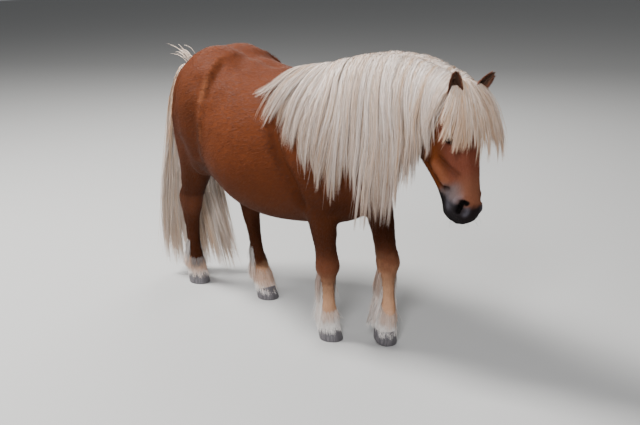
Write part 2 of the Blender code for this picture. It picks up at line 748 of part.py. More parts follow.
def bend(points, t):
    """A point of a smooth curve with the given control points."""
    row = list(points)
    while len(row) > 1:
        row = [a.lerp(b, t) for a, b in zip(row, row[1:])]
    return row[0]


def lay(hide, controls, distance, wave, turn, ease=3):
    """The middle line of a lock, from its root to its tip, lying over the body without touching it."""
    count = 25
    tip = controls[-1] - controls[0]
    side = tip.cross(hide.normal(controls[-1])).normalized()
    line = []
    for i in range(count):
        t = i / (count - 1)
        sway = wave * t * math.sin(5.5 * t + turn)
        line.append(bend(controls, t) + side * sway)
    for _ in range(4):
        for i in range(2, count):
            line[i] = hide.clear(line[i], distance * min(1, i / ease))
        for i in range(2, count - 1):
            line[i] = line[i] * 0.5 + (line[i - 1] + line[i + 1]) * 0.25
    for i in range(2, count):
        line[i] = hide.clear(line[i], distance * min(1, i / ease))
        line[i].z = max(line[i].z, FLOOR_CLEAR)
    return line


def along(line, share):
    """The point at a share of a line's length."""
    lengths = [0]
    for a, b in zip(line, line[1:]):
        lengths.append(lengths[-1] + (b - a).length)
    want = share * lengths[-1]
    for i in range(1, len(line)):
        if lengths[i] >= want:
            part = (want - lengths[i - 1]) / max(lengths[i] - lengths[i - 1], 1e-9)
            return line[i - 1].lerp(line[i], part)
    return line[-1]


def lock(hide, line, width, thick, shares=LOCK_SHARES, root=0.62, face=None):
    """A flat tapered lock of hair along a line: a thin lens in section that ends in a point.

    Its flat side is turned to the body, or one way all along where a face is given.
    """
    mesh = bmesh.new()
    spots = [along(line, t) for t in shares]
    sideways = (spots[-1] - spots[0]).cross(face) if face else None
    rings = []
    for i, (t, spot) in enumerate(zip(shares, spots)):
        ahead = (spots[min(i + 1, len(spots) - 1)] - spots[max(i - 1, 0)]).normalized()
        across = sideways - ahead * sideways.dot(ahead) if face else ahead.cross(hide.normal(spot))
        across.normalize()
        out = across.cross(ahead)
        if i == len(shares) - 1:
            rings.append([mesh.verts.new(spot)])
            continue
        half = width / 2 * (root + (1.5 - root) * t - 0.35 * t ** 2) * (1 - t ** 2.2) ** 0.6
        deep = thick / 2 * (1 - 0.55 * t)
        rings.append([mesh.verts.new(spot + across * a * half + out * b * deep)
                      for a, b in ((1, 0), (0, 1), (-1, 0), (0, -1))])
    mesh.faces.new(rings[0])
    for a, b in zip(rings, rings[1:]):
        for i in range(4):
            j = (i + 1) % 4
            if len(b) == 1:
                mesh.faces.new((a[i], b[0], a[j]))
            else:
                mesh.faces.new((a[i], b[i], b[j]))
                mesh.faces.new((a[i], b[j], a[j]))
    bmesh.ops.recalc_face_normals(mesh, faces=mesh.faces)
    return new_object("lock", mesh, guides)


def tube(points, radii, sides=8):
    """A closed round bar through points."""
    mesh = bmesh.new()
    rings = []
    for i, (point, radius) in enumerate(zip(points, radii)):
        ahead = (points[min(i + 1, len(points) - 1)] - points[max(i - 1, 0)]).normalized()
        across = ahead.cross(Vector((0, 1, 0))).normalized()
        left = across.cross(ahead)
        rings.append([point + (across * math.cos(2 * math.pi * k / sides)
                               + left * math.sin(2 * math.pi * k / sides)) * radius
                      for k in range(sides)])
    loft(mesh, rings)
    return new_object("bar", mesh, guides)


def mane_lines(hide, fall):
    """Locks of one side's fall, in layers from the crest, each with its line and its layer."""
    draw = random.Random(MANE_SEED)
    tips = spline(fall["tips"], 101)
    lines = []
    for layer in range(fall["layers"]):
        lift = LAYER_STEP * (fall["layers"] - 1 - layer)
        for k in range(fall["count"]):
            share = (k + 0.5 * (layer % 2) + 0.25) / fall["count"]
            x = CREST[0] + (CREST[1] - CREST[0]) * share
            root = hide.top(x, -0.016 * share) + Vector((0, fall["side"] * 0.004, 0.002 + lift))
            tip = Vector(tips[round(share * 100)])
            tip += Vector((draw.uniform(-0.010, 0.010), 0, draw.uniform(-0.02, 0.02)))
            tip = root.lerp(tip, 1 - fall["shorter"] * layer - draw.uniform(0, 0.08))
            rise = MANE_RISE * (0.3 + 0.9 * math.sin(math.pi * min(1, 0.05 + share)) ** 0.7)
            over = root + Vector((0, fall["side"] * 0.045, rise + lift))
            down = tip + Vector(((root.x - tip.x) * 0.25, fall["side"] * 0.01, (root.z - tip.z) * 0.45))
            line = lay(hide, (root, over, down, tip), HAIR_CLEAR + lift, 0.005, draw.uniform(0, 6.3))
            lines.append((line, layer))
    return lines


def forelock_lines(hide):
    """Locks from between the ears that fan over the forehead, most of them to the left."""
    draw = random.Random(5)
    tips = spline(FORELOCK["tips"], 101)
    lines = []
    for layer in range(FORELOCK["layers"]):
        lift = 0.007 * (FORELOCK["layers"] - 1 - layer)
        for k in range(FORELOCK["count"]):
            share = (k + layer / 3 + 0.15) / FORELOCK["count"]
            x, y = FORELOCK["root"]
            root = hide.top(x, y + (share - 0.5) * FORELOCK["spread"]) + Vector((0, 0, 0.002 + lift))
            tip = Vector(tips[round(share * 100)])
            tip = root.lerp(tip, 1 - 0.07 * layer - draw.uniform(0, 0.12))
            over = root + Vector((0.035, (tip.y - root.y) * 0.5, 0.020 + lift))
            down = tip + Vector((0.012, (root.y - tip.y) * 0.15, (root.z - tip.z) * 0.5))
            line = lay(hide, (root, over, down, tip), HAIR_CLEAR + lift, 0.003, draw.uniform(0, 6.3))
            lines.append((line, layer))
    return lines


def tail_lines(hide):
    """Locks all along the dock that hang in a fan and spread towards the floor."""
    draw = random.Random(23)
    tips, dock = spline(TAIL["tips"], 101), spline(DOCK, 101)
    lines = []
    for layer in range(TAIL["layers"]):
        back = 1 - layer
        for k in range(TAIL["count"]):
            share = (k + 0.5 * (layer % 2) + 0.25) / TAIL["count"]
            place = dock[min(100, 38 + 22 * layer + 5 * (k % 3))]
            a = 2 * share - 1
            out = Vector((-0.9 * (1 - abs(a)) * (back + 0.4), a, 0))
            root = Vector(place[:3]) + out.normalized() * place[3] * 0.5
            tip = Vector(tips[round(share * 100)]) + Vector((-0.030, 0.022, 0)) * back
            tip.z += 0.012 * layer + draw.uniform(0, 0.02)
            behind = Vector((-0.007, 0.004, 0)) * (k % 2)
            over = root + Vector((-0.022 * (back + 1), a * 0.05, 0.03 - 0.06 * layer)) + behind
            down = tip.lerp(root, 0.45) + Vector((-0.010 * back - 0.02, a * 0.01, 0)) + behind * 2
            tip += behind
            line = lay(hide, (root, over, down, tip), HAIR_CLEAR, 0.006, draw.uniform(0, 6.3))
            lines.append((line, layer))
    return lines


def feather_lines(hide, name, leg):
    """Long hair from the back of the cannon and fetlock, lying down and out behind the heel."""
    draw = random.Random(len(name) + 3)
    lines = []
    for row, (height, angles, length, flare) in enumerate(FEATHER):
        stand_off = 0.003 + 0.0035 * (len(FEATHER) - 1 - row)
        middle = leg_centre(leg, height)
        flare *= leg["flare"]
        fall = leg_centre(leg, height - length) - middle
        for angle in angles:
            turn = math.radians(180 + angle + leg["turn"])
            out = Vector((math.cos(turn), math.sin(turn), 0))
            start = Vector((middle.x, middle.y, height))
            root, normal, _, _ = hide.tree.find_nearest(start + out * 0.05)
            root = root - normal * 0.006
            down = Vector((fall.x, fall.y, -length)) * draw.uniform(0.85, 1.05)
            tip = root + out * (flare + 0.006) + down
            over = root + out * (flare * 0.7 + 0.004) + down * 0.35
            lines.append((lay(hide, (root, over, tip), stand_off, 0.002, draw.uniform(0, 6.3), 10), out))
    return lines


def fuse(name, core, locks, blockers):
    """Joins locks to their core and trims the whole clear of its neighbours."""
    core.name = core.data.name = name
    for home in list(core.users_collection):
        home.objects.unlink(core)
    pony.objects.link(core)
    boolean(core, locks, "UNION", JOINER)
    boolean(core, [grown(thing, GAP * 1.2, guides) for thing in blockers], "DIFFERENCE", JOINER)
    return keep_largest(core)


def add_mane(hide, blockers):
    """The mane: locks that root in a ridge along the crest."""
    points = [hide.top(CREST[0] + (CREST[1] - CREST[0]) * i / 9, -0.016 * i / 9) for i in range(10)]
    points = [point + Vector((0, 0, MANE_RIDGE * 0.3)) for point in points]
    radii = [MANE_RIDGE * (0.7 if i in (0, 9) else 1) for i in range(10)]
    locks = []
    for fall in MANE_FALLS:
        face = Vector((0, fall["side"], 0))
        locks += [lock(hide, line, fall["width"], LOCK_THICK, face=face) for line, _ in mane_lines(hide, fall)]
    return fuse("mane", tube(points, radii), locks, blockers)


def add_forelock(hide, blockers):
    x, y = FORELOCK["root"]
    pad = ball(hide.top(x, y) + Vector((0, 0, 0.004)), (0.016, 0.030, 0.017), None, 10, 6)
    locks = [lock(hide, line, FORELOCK["width"], 0.005, root=0.12, face=Vector((1, 0, 0)))
             for line, _ in forelock_lines(hide)]
    return fuse("forelock", pad, locks, blockers)


def add_tail(hide, blockers):
    rows = spline(DOCK, 11)
    dock = tube([Vector(row[:3]) for row in rows], [row[3] for row in rows])
    locks = [lock(hide, line, TAIL["width"], LOCK_THICK, root=0.16) for line, _ in tail_lines(hide)]
    return fuse("tail", dock, locks, blockers)


def add_feather(hide, name, leg, limb, blockers):
    lines = feather_lines(hide, name, leg)
    locks = [lock(hide, line, FEATHER_WIDTH, 0.0045, SHORT_SHARES, 0.7, out) for line, out in lines]
    return fuse("leg_" + name, limb, locks, blockers)


def centre_on_floor(things):
    """Moves the whole animal so that the origin lies under its middle, on the floor."""
    corners = [v.co for thing in things for v in thing.data.vertices]
    low = [min(co[i] for co in corners) for i in range(3)]
    high = [max(co[i] for co in corners) for i in range(3)]
    shift = Vector((-(low[0] + high[0]) / 2, -(low[1] + high[1]) / 2, -low[2]))
    for thing in things:
        thing.data.transform(Matrix.Translation(shift))
    return shift


clear_scene()
pony = bpy.data.collections.new("shetland_pony")
guides = bpy.data.collections.new("guides")
for collection in (pony, guides):
    bpy.context.scene.collection.children.link(collection)
flesh = add_flesh()
parts = divide_body(flesh)
for name, leg in LEGS.items():
    cut_at_coronet(parts["leg_" + name], leg)
    paint(parts["leg_" + name], "coat_" + name, COAT, 0.75)
    paint(add_hoof(name, leg), "horn_" + name, HORN, 0.45)
shape_head(parts["head"])
for name in ("head", "neck", "torso"):
    paint(parts[name], "coat_" + name, COAT, 0.75)
for name, side in (("right", -1), ("left", 1)):
    paint(add_eye(name, side), "eye_" + name, EYE_BROWN, 0.1)
    ear = add_ear(name, EARS[name])
    boolean(ear, [grown(parts["head"], GAP, guides)], "DIFFERENCE")
    keep_largest(ear)
    parts["ear_" + name] = ear
    paint(ear, "ear_" + name, COAT, 0.75)
hide = Hide([flesh] + [bpy.data.objects["hoof_" + name] for name in LEGS])
ears = [parts["ear_right"], parts["ear_left"]]
mane = add_mane(hide, [parts["head"], parts["neck"], parts["torso"]] + ears)
forelock = add_forelock(hide, [parts["head"], parts["neck"], mane] + ears)
tail = add_tail(hide, [parts["torso"], parts["leg_right_hind"], parts["leg_left_hind"]])
for name, leg in LEGS.items():
    add_feather(hide, name, leg, parts["leg_" + name], [bpy.data.objects["hoof_" + name]])
for thing in (mane, forelock, tail):
    paint(thing, thing.name + "_hair", FLAXEN, 0.7)
bpy.data.objects.remove(flesh, do_unlink=True)
SHIFT = centre_on_floor(pony.objects)
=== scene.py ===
import math

import bmesh
import bpy
import numpy as np
from mathutils import Matrix, Vector
from mathutils.bvhtree import BVHTree


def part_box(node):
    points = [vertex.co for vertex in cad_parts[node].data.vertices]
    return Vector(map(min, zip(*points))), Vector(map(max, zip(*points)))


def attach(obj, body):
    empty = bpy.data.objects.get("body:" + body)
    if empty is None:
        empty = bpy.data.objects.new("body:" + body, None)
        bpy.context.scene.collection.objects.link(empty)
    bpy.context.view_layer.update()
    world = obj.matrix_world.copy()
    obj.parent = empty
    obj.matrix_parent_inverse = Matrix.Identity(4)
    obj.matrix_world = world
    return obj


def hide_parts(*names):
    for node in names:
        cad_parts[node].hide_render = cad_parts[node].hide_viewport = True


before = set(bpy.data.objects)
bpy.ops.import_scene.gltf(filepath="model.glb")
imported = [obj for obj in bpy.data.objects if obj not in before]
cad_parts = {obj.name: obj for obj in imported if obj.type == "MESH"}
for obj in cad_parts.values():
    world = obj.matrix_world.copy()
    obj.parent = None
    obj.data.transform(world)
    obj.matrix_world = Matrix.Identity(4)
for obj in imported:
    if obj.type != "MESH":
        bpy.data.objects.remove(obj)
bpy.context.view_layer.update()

# Places below are given with the forehand's own zero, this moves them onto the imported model
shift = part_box("hoof_right_fore")[0] - Vector((0.2480, -0.1040, 0))

camera = {
    "focal": 1016.925, "pitch": 16.555, "turn": 46.378, "place": (2.750, -2.456, 1.495),
    "imageWidth": 640, "sensor": 36.0,
}
head = {
    "poll": (0.825, -0.016, 0.985), "yaw": -5, "pitch": 11,
    "parting": ((0.772, 0.0, 0.900), (0.93, 0.0, -0.36)),
}
eye = {
    "place": (0.149, -0.019, 0.0630), "radius": 0.0175, "gazeOut": 0.42, "gazeUp": 0.05,
    "openAcross": 0.0104, "openDown": 0.0162, "lidThick": 0.0030, "sunk": 0.0042,
    # the lid's rim and the groove behind it: height, place as a ring round the opening, width
    "lidRim": (0.0020, 1.25, 0.16), "lidGroove": (-0.0024, 1.72, 0.14),
}
hoof = {
    "length": 0.090, "width": 0.082, "height": 0.050, "lean": 0.018, "toeFlat": 0.0035,
    # height at its middle, how much that grows towards the toe, where the heel is cut, growth rings
    "middle": 0.86, "toeRise": 0.30, "heel": 0.43, "taper": 0.14, "rings": 22, "ringDepth": 0.006,
}
# knee or hock, fetlock, middle of the sole, turn out, tip on the toe, how far the feather flares
legs = {
    "right_fore": {"middle": (0.303, -0.088, 0.285), "fetlock": (0.286, -0.069, 0.116),
                   "sole": (0.300, -0.062), "turn": -4, "tip": 0, "flare": 0.45, "white": (0.105, 0.250)},
    "left_fore": {"middle": (0.424, 0.096, 0.287), "fetlock": (0.436, 0.087, 0.118),
                  "sole": (0.458, 0.052), "turn": -8, "tip": 20, "flare": 1.15, "white": (0.100, 0.300)},
    "right_hind": {"middle": (-0.488, -0.088, 0.370), "fetlock": (-0.520, -0.058, 0.119),
                   "sole": (-0.508, -0.046), "turn": -2, "tip": 0, "flare": 0.5, "white": (0.066, 0.074)},
    "left_hind": {"middle": (-0.322, 0.088, 0.325), "fetlock": (-0.246, 0.064, 0.108),
                  "sole": (-0.172, 0.042), "turn": -4, "tip": 0, "flare": 0.6, "white": (0.070, 0.100)},
}


def smoothStep(low, high, value):
    t = np.clip((value - low) / (high - low), 0, 1)
    return t * t * (3 - 2 * t)


def unit(rows):
    return rows / np.maximum(np.linalg.norm(rows, axis=-1, keepdims=True), 1e-9)


def mix(a, b, share):
    return a + (b - a) * share


def through(rows, places):
    # a smooth curve through the rows, read at places from 0 to 1
    rows = np.array(rows, float)
    at = np.clip(np.asarray(places, float), 0, 1) * (len(rows) - 1)
    k = np.minimum(at.astype(int), len(rows) - 2)
    t = (at - k)[..., None]
    a, b, c, d = (rows[np.clip(k + i, 0, len(rows) - 1)] for i in (-1, 0, 1, 2))
    return 0.5 * (2 * b + (c - a) * t + (2 * a - 5 * b + 4 * c - d) * t ** 2
                  + (3 * b - a - 3 * c + d) * t ** 3)


# Directions of the head: down the face, out of the forehead, to the left
ahead = Vector((math.cos(math.radians(head["yaw"])), math.sin(math.radians(head["yaw"])), 0))
headLeft = Vector((-ahead.y, ahead.x, 0))
headPitch = math.radians(head["pitch"])
headAlong = ahead * math.sin(headPitch) - Vector((0, 0, 1)) * math.cos(headPitch)
headOut = ahead * math.cos(headPitch) + Vector((0, 0, 1)) * math.sin(headPitch)
headAxes = np.array([headAlong, headOut, headLeft])
poll = np.array(head["poll"])


def onHead(place):
    return poll + np.asarray(place, float) @ headAxes


def inHead(points):
    return (points - poll) @ headAxes.T


def headShare(points):
    place, normal = (np.array(row) for row in head["parting"])
    return smoothStep(-0.035, 0.045, (points - place) @ unit(normal))


def eyeFrame(side):
    # across the eye, down the face and out of it, as rows, with the middle of the ball
    gaze = (headLeft * side + headOut * eye["gazeOut"] - headAlong * eye["gazeUp"]).normalized()
    across = headAlong.cross(gaze).normalized()
    a, b, c = eye["place"]
    return np.array([across, gaze.cross(across), gaze]), onHead((a, b, c * side))


def eyeRing(points, side):
    # places seen from an eye, and how far out they are: 1 at the edge of its lids
    axes, middle = eyeFrame(side)
    q = (points - middle) @ axes.T
    return q, np.hypot(q[:, 0] / eye["openAcross"], q[:, 1] / eye["openDown"])


def hoofFrame(leg):
    toe = Matrix.Translation((hoof["length"] / 2, 0, 0))
    tipped = toe @ Matrix.Rotation(math.radians(leg["tip"]), 4, "Y") @ toe.inverted()
    drop = Matrix.Translation((0, 0, -hoof["toeFlat"] if leg["tip"] else 0))
    place = Matrix.Translation((*leg["sole"], 0))
    return drop @ place @ Matrix.Rotation(math.radians(leg["turn"]), 4, "Z") @ tipped


def legMiddle(leg, height):
    top = hoofFrame(leg) @ Vector((-hoof["lean"], 0, hoof["height"] * hoof["middle"]))
    rows = np.array([leg["middle"], leg["fetlock"], top, (*leg["sole"], 0)])[::-1]
    return np.stack([np.interp(height, rows[:, 2], rows[:, i]) for i in (0, 1)], -1)


def nearestLeg(points):
    # for each point, which leg it belongs to below the knee, else -1
    best = np.full(len(points), -1)
    reach = np.full(len(points), 0.10)
    for i, leg in enumerate(legs.values()):
        away = np.linalg.norm(points[:, :2] - legMiddle(leg, points[:, 2]), axis=1)
        closer = (away < reach) & (points[:, 2] < 0.40)
        best[closer], reach[closer] = i, away[closer]
    return best


# Soft speckle for markings: a few sine waves crossed at odd angles
def mottle(points, size, seed=0):
    draw = np.random.default_rng(seed)
    total = np.zeros(len(points))
    for _ in range(7):
        wave = unit(draw.normal(size=3)) * draw.uniform(0.6, 1.6) / size
        total += np.sin(points @ wave * 2 * math.pi + draw.uniform(0, 6.3))
    return total / 7


# Colours of the coat. Besides its own colours these hold painted shade for the underside of the body, the
# creases and the nostril's pit, and painted highlights for the top of the back, the cheekbone's crest, the
# flank fold, the nose and a grey sheen on the black muzzle
coat = {
    "chestnut": (0.110, 0.029, 0.010), "backHighlight": (0.118, 0.032, 0.013), "dark": (0.034, 0.009, 0.003),
    "bellyShade": (0.066, 0.020, 0.007), "face": (0.150, 0.044, 0.025), "cheek": (0.135, 0.034, 0.008),
    "knee": (0.190, 0.065, 0.032), "nose": (0.195, 0.074, 0.040), "crestHighlight": (0.300, 0.112, 0.060),
    "foldHighlight": (0.235, 0.082, 0.034),
    "lilac": (0.150, 0.118, 0.114), "muzzle": (0.008, 0.007, 0.008), "rim": (0.004, 0.003, 0.003),
    "white": (0.900, 0.850, 0.810), "cream": (0.640, 0.360, 0.210), "wing": (0.088, 0.082, 0.098),
}


def nearLine(points, line):
    # distance of each point from a line of places
    line = np.array(line, float)
    away = np.full(len(points), 9.0)
    for start, step in zip(line[:-1], np.diff(line, axis=0)):
        t = np.clip((points - start) @ step / max(step @ step, 1e-9), 0, 1)
        away = np.minimum(away, np.linalg.norm(points - start - t[:, None] * step, axis=1))
    return away


# The fold before the flank, with the hollow before it, the cheekbone's crest and the nostril
foldHollow = ((-0.217, 0.124, 0.946), (-0.207, 0.175, 0.898), (-0.208, 0.212, 0.839))
foldEdge = ((-0.243, 0.107, 0.962), (-0.239, 0.153, 0.932), (-0.234, 0.188, 0.891),
            (-0.228, 0.220, 0.826), (-0.216, 0.238, 0.750), (-0.208, 0.246, 0.680))
cheekCrest = ((0.236, -0.094, 0.061), (0.258, -0.078, 0.057), (0.290, -0.062, 0.051))
nostrilEdge = ((0.361, -0.007, 0.033), (0.357, -0.013, 0.040), (0.359, -0.019, 0.045),
               (0.370, -0.025, 0.049), (0.384, -0.032, 0.049))
# Painted shade in creases and hollows and a painted highlight along the flank fold's ridge, along lines on
# both sides: colour, points, reach, share
bodyPaint = (
    # painted shade in creases and hollows, where the light does not reach
    ("dark", foldHollow, 0.011, 0.50),
    ("dark", (foldHollow[2], (-0.196, 0.235, 0.770)), 0.007, 0.35),
    ("dark", ((-0.205, 0.050, 0.978), (-0.165, 0.090, 0.950)), 0.026, 0.30),
    ("dark", ((-0.225, 0.240, 0.720), (-0.222, 0.240, 0.650), (-0.228, 0.220, 0.580),
              (-0.245, 0.200, 0.545)), 0.032, 0.70),
    ("dark", ((0.170, 0.232, 0.780), (0.196, 0.225, 0.710), (0.219, 0.223, 0.661),
              (0.246, 0.211, 0.618), (0.261, 0.197, 0.576), (0.262, 0.174, 0.527)), 0.022, 0.75),
    ("dark", ((0.330, 0.150, 0.520), (0.400, 0.120, 0.520)), 0.040, 0.5),
    ("dark", ((-0.470, 0.160, 0.800), (-0.455, 0.175, 0.700)), 0.030, 0.4),
    # painted highlight along the ridge of the flank fold
    ("foldHighlight", foldEdge[:4], 0.009, 0.75),
    ("foldHighlight", foldEdge[3:], 0.005, 0.55),
)
# The same on the head: painted shade round the cheekbone and along the jaw, and painted highlights, a grey
# sheen on the black skin in and round the nostril and on the lip
facePaint = (
    # painted shade round the cheekbone and along the jaw
    ("dark", ((0.215, -0.128, 0.062), (0.250, -0.120, 0.058), (0.285, -0.100, 0.055)), 0.016, 0.60),
    ("dark", ((0.235, -0.142, 0.056), (0.262, -0.128, 0.055), (0.290, -0.107, 0.049),
              (0.305, -0.092, 0.047), (0.308, -0.066, 0.049)), 0.011, 0.85),
    ("dark", ((0.218, -0.066, 0.065), (0.230, -0.057, 0.063), (0.250, -0.040, 0.056),
              (0.270, -0.022, 0.047)), 0.009, 0.70),
    ("dark", ((0.120, -0.175, 0.045), (0.200, -0.175, 0.040), (0.290, -0.155, 0.036)), 0.022, 0.6),
    # painted highlights: a grey sheen on the black muzzle
    ("wing", ((0.380, -0.006, 0.031), (0.391, -0.009, 0.032), (0.397, -0.016, 0.036)), 0.0090, 0.70),
    ("wing", ((0.340, -0.020, 0.046), (0.350, -0.040, 0.050)), 0.012, 0.45),
    ("wing", ((0.330, -0.066, 0.048), (0.366, -0.068, 0.050)), 0.013, 0.50),
)


def markings(points):
    # the coat's colour at places of the body, for the skin and for the fur alike
    x, y, z = points.T
    colour = np.tile(coat["chestnut"], (len(points), 1))

    def lay(name, share, where=slice(None)):
        colour[where] = mix(colour[where], np.array(coat[name]), np.clip(share, 0, 1)[:, None])

    def layLines(rows, spots, within=1):
        for name, line, size, share in rows:
            lay(name, within * np.exp(-(nearLine(spots, line) / size) ** 2) * share)

    # painted highlight: lighter along the top of the back, where the light from above falls
    lay("backHighlight", smoothStep(0.84, 0.98, z) * 0.8)
    # painted shade: darker towards the underside of the trunk
    lay("bellyShade", smoothStep(0.62, 0.46, z) * 0.6)
    # painted shade on the shoulder and chest under the mane
    lay("dark", smoothStep(0.10, 0.42, x) * smoothStep(0.86, 0.62, z) * 0.45)
    # painted shade: darker low on the body and down the legs
    lay("dark", smoothStep(0.52, 0.36, z) * 0.45)
    lay("dark", np.clip(mottle(points, 0.16, 2), 0, 1) * 0.15)
    # painted shade on the haunch behind the flank fold, darker lower down
    lay("dark", smoothStep(-0.20, -0.27, x) * smoothStep(0.96, 0.74, z) * 0.42)
    # painted shade in creases and a painted highlight along the flank fold
    layLines(bodyPaint, np.stack([x, np.abs(y), z], 1))
    onIt = headShare(points)
    along, out, left = inHead(points).T
    spot = np.stack([along, out, np.abs(left)], 1)
    lay("face", onIt * smoothStep(-0.065, -0.03, out) * 0.95)
    lay("cheek", onIt * smoothStep(-0.045, -0.09, out) * 0.9)
    lay("dark", onIt * smoothStep(0.15, 0.0, along) * 0.5)
    # painted highlight along the cheekbone's crest
    layLines([("crestHighlight", cheekCrest, 0.015, 0.80)], spot, onIt)
    # painted highlight: lighter along the top of the nose, where it faces the light
    lay("nose", onIt * smoothStep(0.24, 0.32, along) * smoothStep(-0.050, -0.015, out) * 0.8)
    patch = along - 0.5 * np.maximum(-0.075 - out, 0) + 0.008 * mottle(points, 0.05, 5)
    lay("lilac", onIt * smoothStep(0.280, 0.314, patch) * smoothStep(0.000, -0.045, out) * 0.85)
    low = along - 0.5 * (out + 0.05) + 0.006 * mottle(points, 0.04, 6)
    lay("muzzle", onIt * smoothStep(0.336, 0.363, low) * 0.97)
    # painted shade round the cheekbone and jaw, painted highlights on the black muzzle
    layLines(facePaint, spot, onIt)
    # the nostril's rim is dark skin; deeper in its pit the dark is painted shade
    for inward in (0, 0.008, 0.016):
        line = np.array(nostrilEdge) - (0, 0.4 * inward, inward)
        lay("rim", onIt * smoothStep(0.0110, 0.0060, nearLine(spot, line)) * 0.97)
    for side in (-1, 1):
        q, ring = eyeRing(points, side)
        lay("rim", smoothStep(1.9, 1.15, ring) * (q[:, 2] > 0) * onIt * 0.92)
    which = nearestLeg(points)
    wobble = 0.020 * mottle(points, 0.05, 9)
    for i, leg in enumerate(legs.values()):
        mine = which == i
        here = points[mine]
        low, high = leg["white"]
        knee = np.exp(-((here[:, 2] - leg["middle"][2] + 0.01) / 0.055) ** 2)
        lay("knee", knee * (0.75 if leg["middle"][2] < 0.30 else 0.3), mine)
        behind = (legMiddle(leg, here[:, 2])[:, 0] - here[:, 0]) / 0.035
        height = here[:, 2] + wobble[mine] - 0.035 * np.clip(behind, -0.4, 1)
        lay("cream", smoothStep(high + 0.05, low + 0.04, height) * 0.85, mine)
        lay("white", smoothStep(low + 0.025, low - 0.008, height), mine)
    return colour


def newMesh(name, places, faces, smooth=True):
    # a mesh from arrays: faces is a list of arrays, one for each number of corners
    mesh = bpy.data.meshes.new(name)
    corners = np.concatenate([part.ravel() for part in faces]).astype(np.int32)
    counts = np.concatenate([np.full(len(part), part.shape[1]) for part in faces]).astype(np.int32)
    mesh.vertices.add(len(places))
    mesh.vertices.foreach_set("co", np.ascontiguousarray(places, np.float32).ravel())
    mesh.loops.add(len(corners))
    mesh.loops.foreach_set("vertex_index", corners)
    mesh.polygons.add(len(counts))
    mesh.polygons.foreach_set("loop_start", (np.cumsum(counts) - counts).astype(np.int32))
    mesh.polygons.foreach_set("use_smooth", np.full(len(counts), smooth))
    mesh.update(calc_edges=True)
    return mesh


def setColour(mesh, name, colours):
    layer = mesh.attributes.new(name, "FLOAT_COLOR", "POINT")
    rows = np.ones((len(colours), 4), np.float32)
    rows[:, :3] = colours
    layer.data.foreach_set("color", rows.ravel())


def placesOf(mesh):
    co = np.empty(len(mesh.vertices) * 3, np.float32)
    mesh.vertices.foreach_get("co", co)
    return co.reshape(-1, 3).astype(float)


def normalsOf(mesh):
    rows = np.empty(len(mesh.vertices) * 3, np.float32)
    mesh.vertex_normals.foreach_get("vector", rows)
    return rows.reshape(-1, 3).astype(float)


def setPlaces(mesh, co):
    mesh.vertices.foreach_set("co", np.ascontiguousarray(co, np.float32).ravel())
    mesh.update()


def addPiece(name, mesh, finish, slot, *nodes):
    # a finished piece: moved onto the model, with its finish, and standing for its solids
    mesh.name = name
    mesh.transform(Matrix.Translation(shift))
    mesh.materials.clear()
    mesh.materials.append(finish)
    thing = bpy.data.objects.new(name, mesh)
    bpy.context.scene.collection.objects.link(thing)
    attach(thing, "root")
    if nodes:
        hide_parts(*nodes)
    print("made", name, len(mesh.polygons), "faces")


def evaluated(mesh, *modifiers):
    # the mesh with modifiers worked in: each is its kind and a dictionary of settings
    thing = bpy.data.objects.new("work", mesh)
    bpy.context.scene.collection.objects.link(thing)
    for kind, settings in modifiers:
        step = thing.modifiers.new(kind, kind)
        for key, value in settings.items():
            setattr(step, key, value)
    result = bpy.data.meshes.new_from_object(thing.evaluated_get(bpy.context.evaluated_depsgraph_get()))
    bpy.data.objects.remove(thing)
    return result


def meshFrom(work, name="work"):
    # a mesh from a bmesh that is then done with
    mesh = bpy.data.meshes.new(name)
    work.to_mesh(mesh)
    work.free()
    return mesh


def movePoints(work, places):
    for v, place in zip(work.verts, places):
        v.co = place
    work.normal_update()


def newFinish(name, roughness, specular):
    # a finish and the inputs of its shader, with what adds a node and what links two sockets
    finish = bpy.data.materials.new(name)
    finish.use_nodes = True
    nodes, links = finish.node_tree.nodes, finish.node_tree.links
    shader = nodes["Principled BSDF"].inputs
    shader["Roughness"].default_value = roughness
    shader["Specular IOR Level"].default_value = specular

    def add(kind, inputs=None, **settings):
        node = nodes.new("ShaderNode" + kind)
        for key, value in settings.items():
            setattr(node, key, value)
        for key, value in (inputs or {}).items():
            node.inputs[key].default_value = value
        return node

    return finish, shader, add, links.new


def stretchedNoise(add, link, stretch, size=1.0, detail=4.0):
    # noise drawn out along the directions where the stretch is small
    place = add("TexCoord")
    turn = add("Mapping", {"Scale": stretch})
    noise = add("TexNoise", {"Scale": size, "Detail": detail, "Roughness": 0.6})
    link(place.outputs["Object"], turn.inputs["Vector"])
    link(turn.outputs["Vector"], noise.inputs["Vector"])
    return noise.outputs["Fac"]


def varied(add, link, colour, fac, low, high):
    # brightens and darkens a colour by a noise between two factors
    span = add("MapRange", {"From Min": 0.3, "From Max": 0.7, "To Min": low, "To Max": high})
    link(fac, span.inputs["Value"])
    scale = add("VectorMath", operation="SCALE")
    link(colour, scale.inputs[0])
    link(span.outputs["Result"], scale.inputs["Scale"])
    return scale.outputs["Vector"]


def bumped(add, link, shader, height, strength, distance):
    bump = add("Bump", {"Strength": strength, "Distance": distance})
    link(height, bump.inputs["Height"])
    link(bump.outputs["Normal"], shader["Normal"])


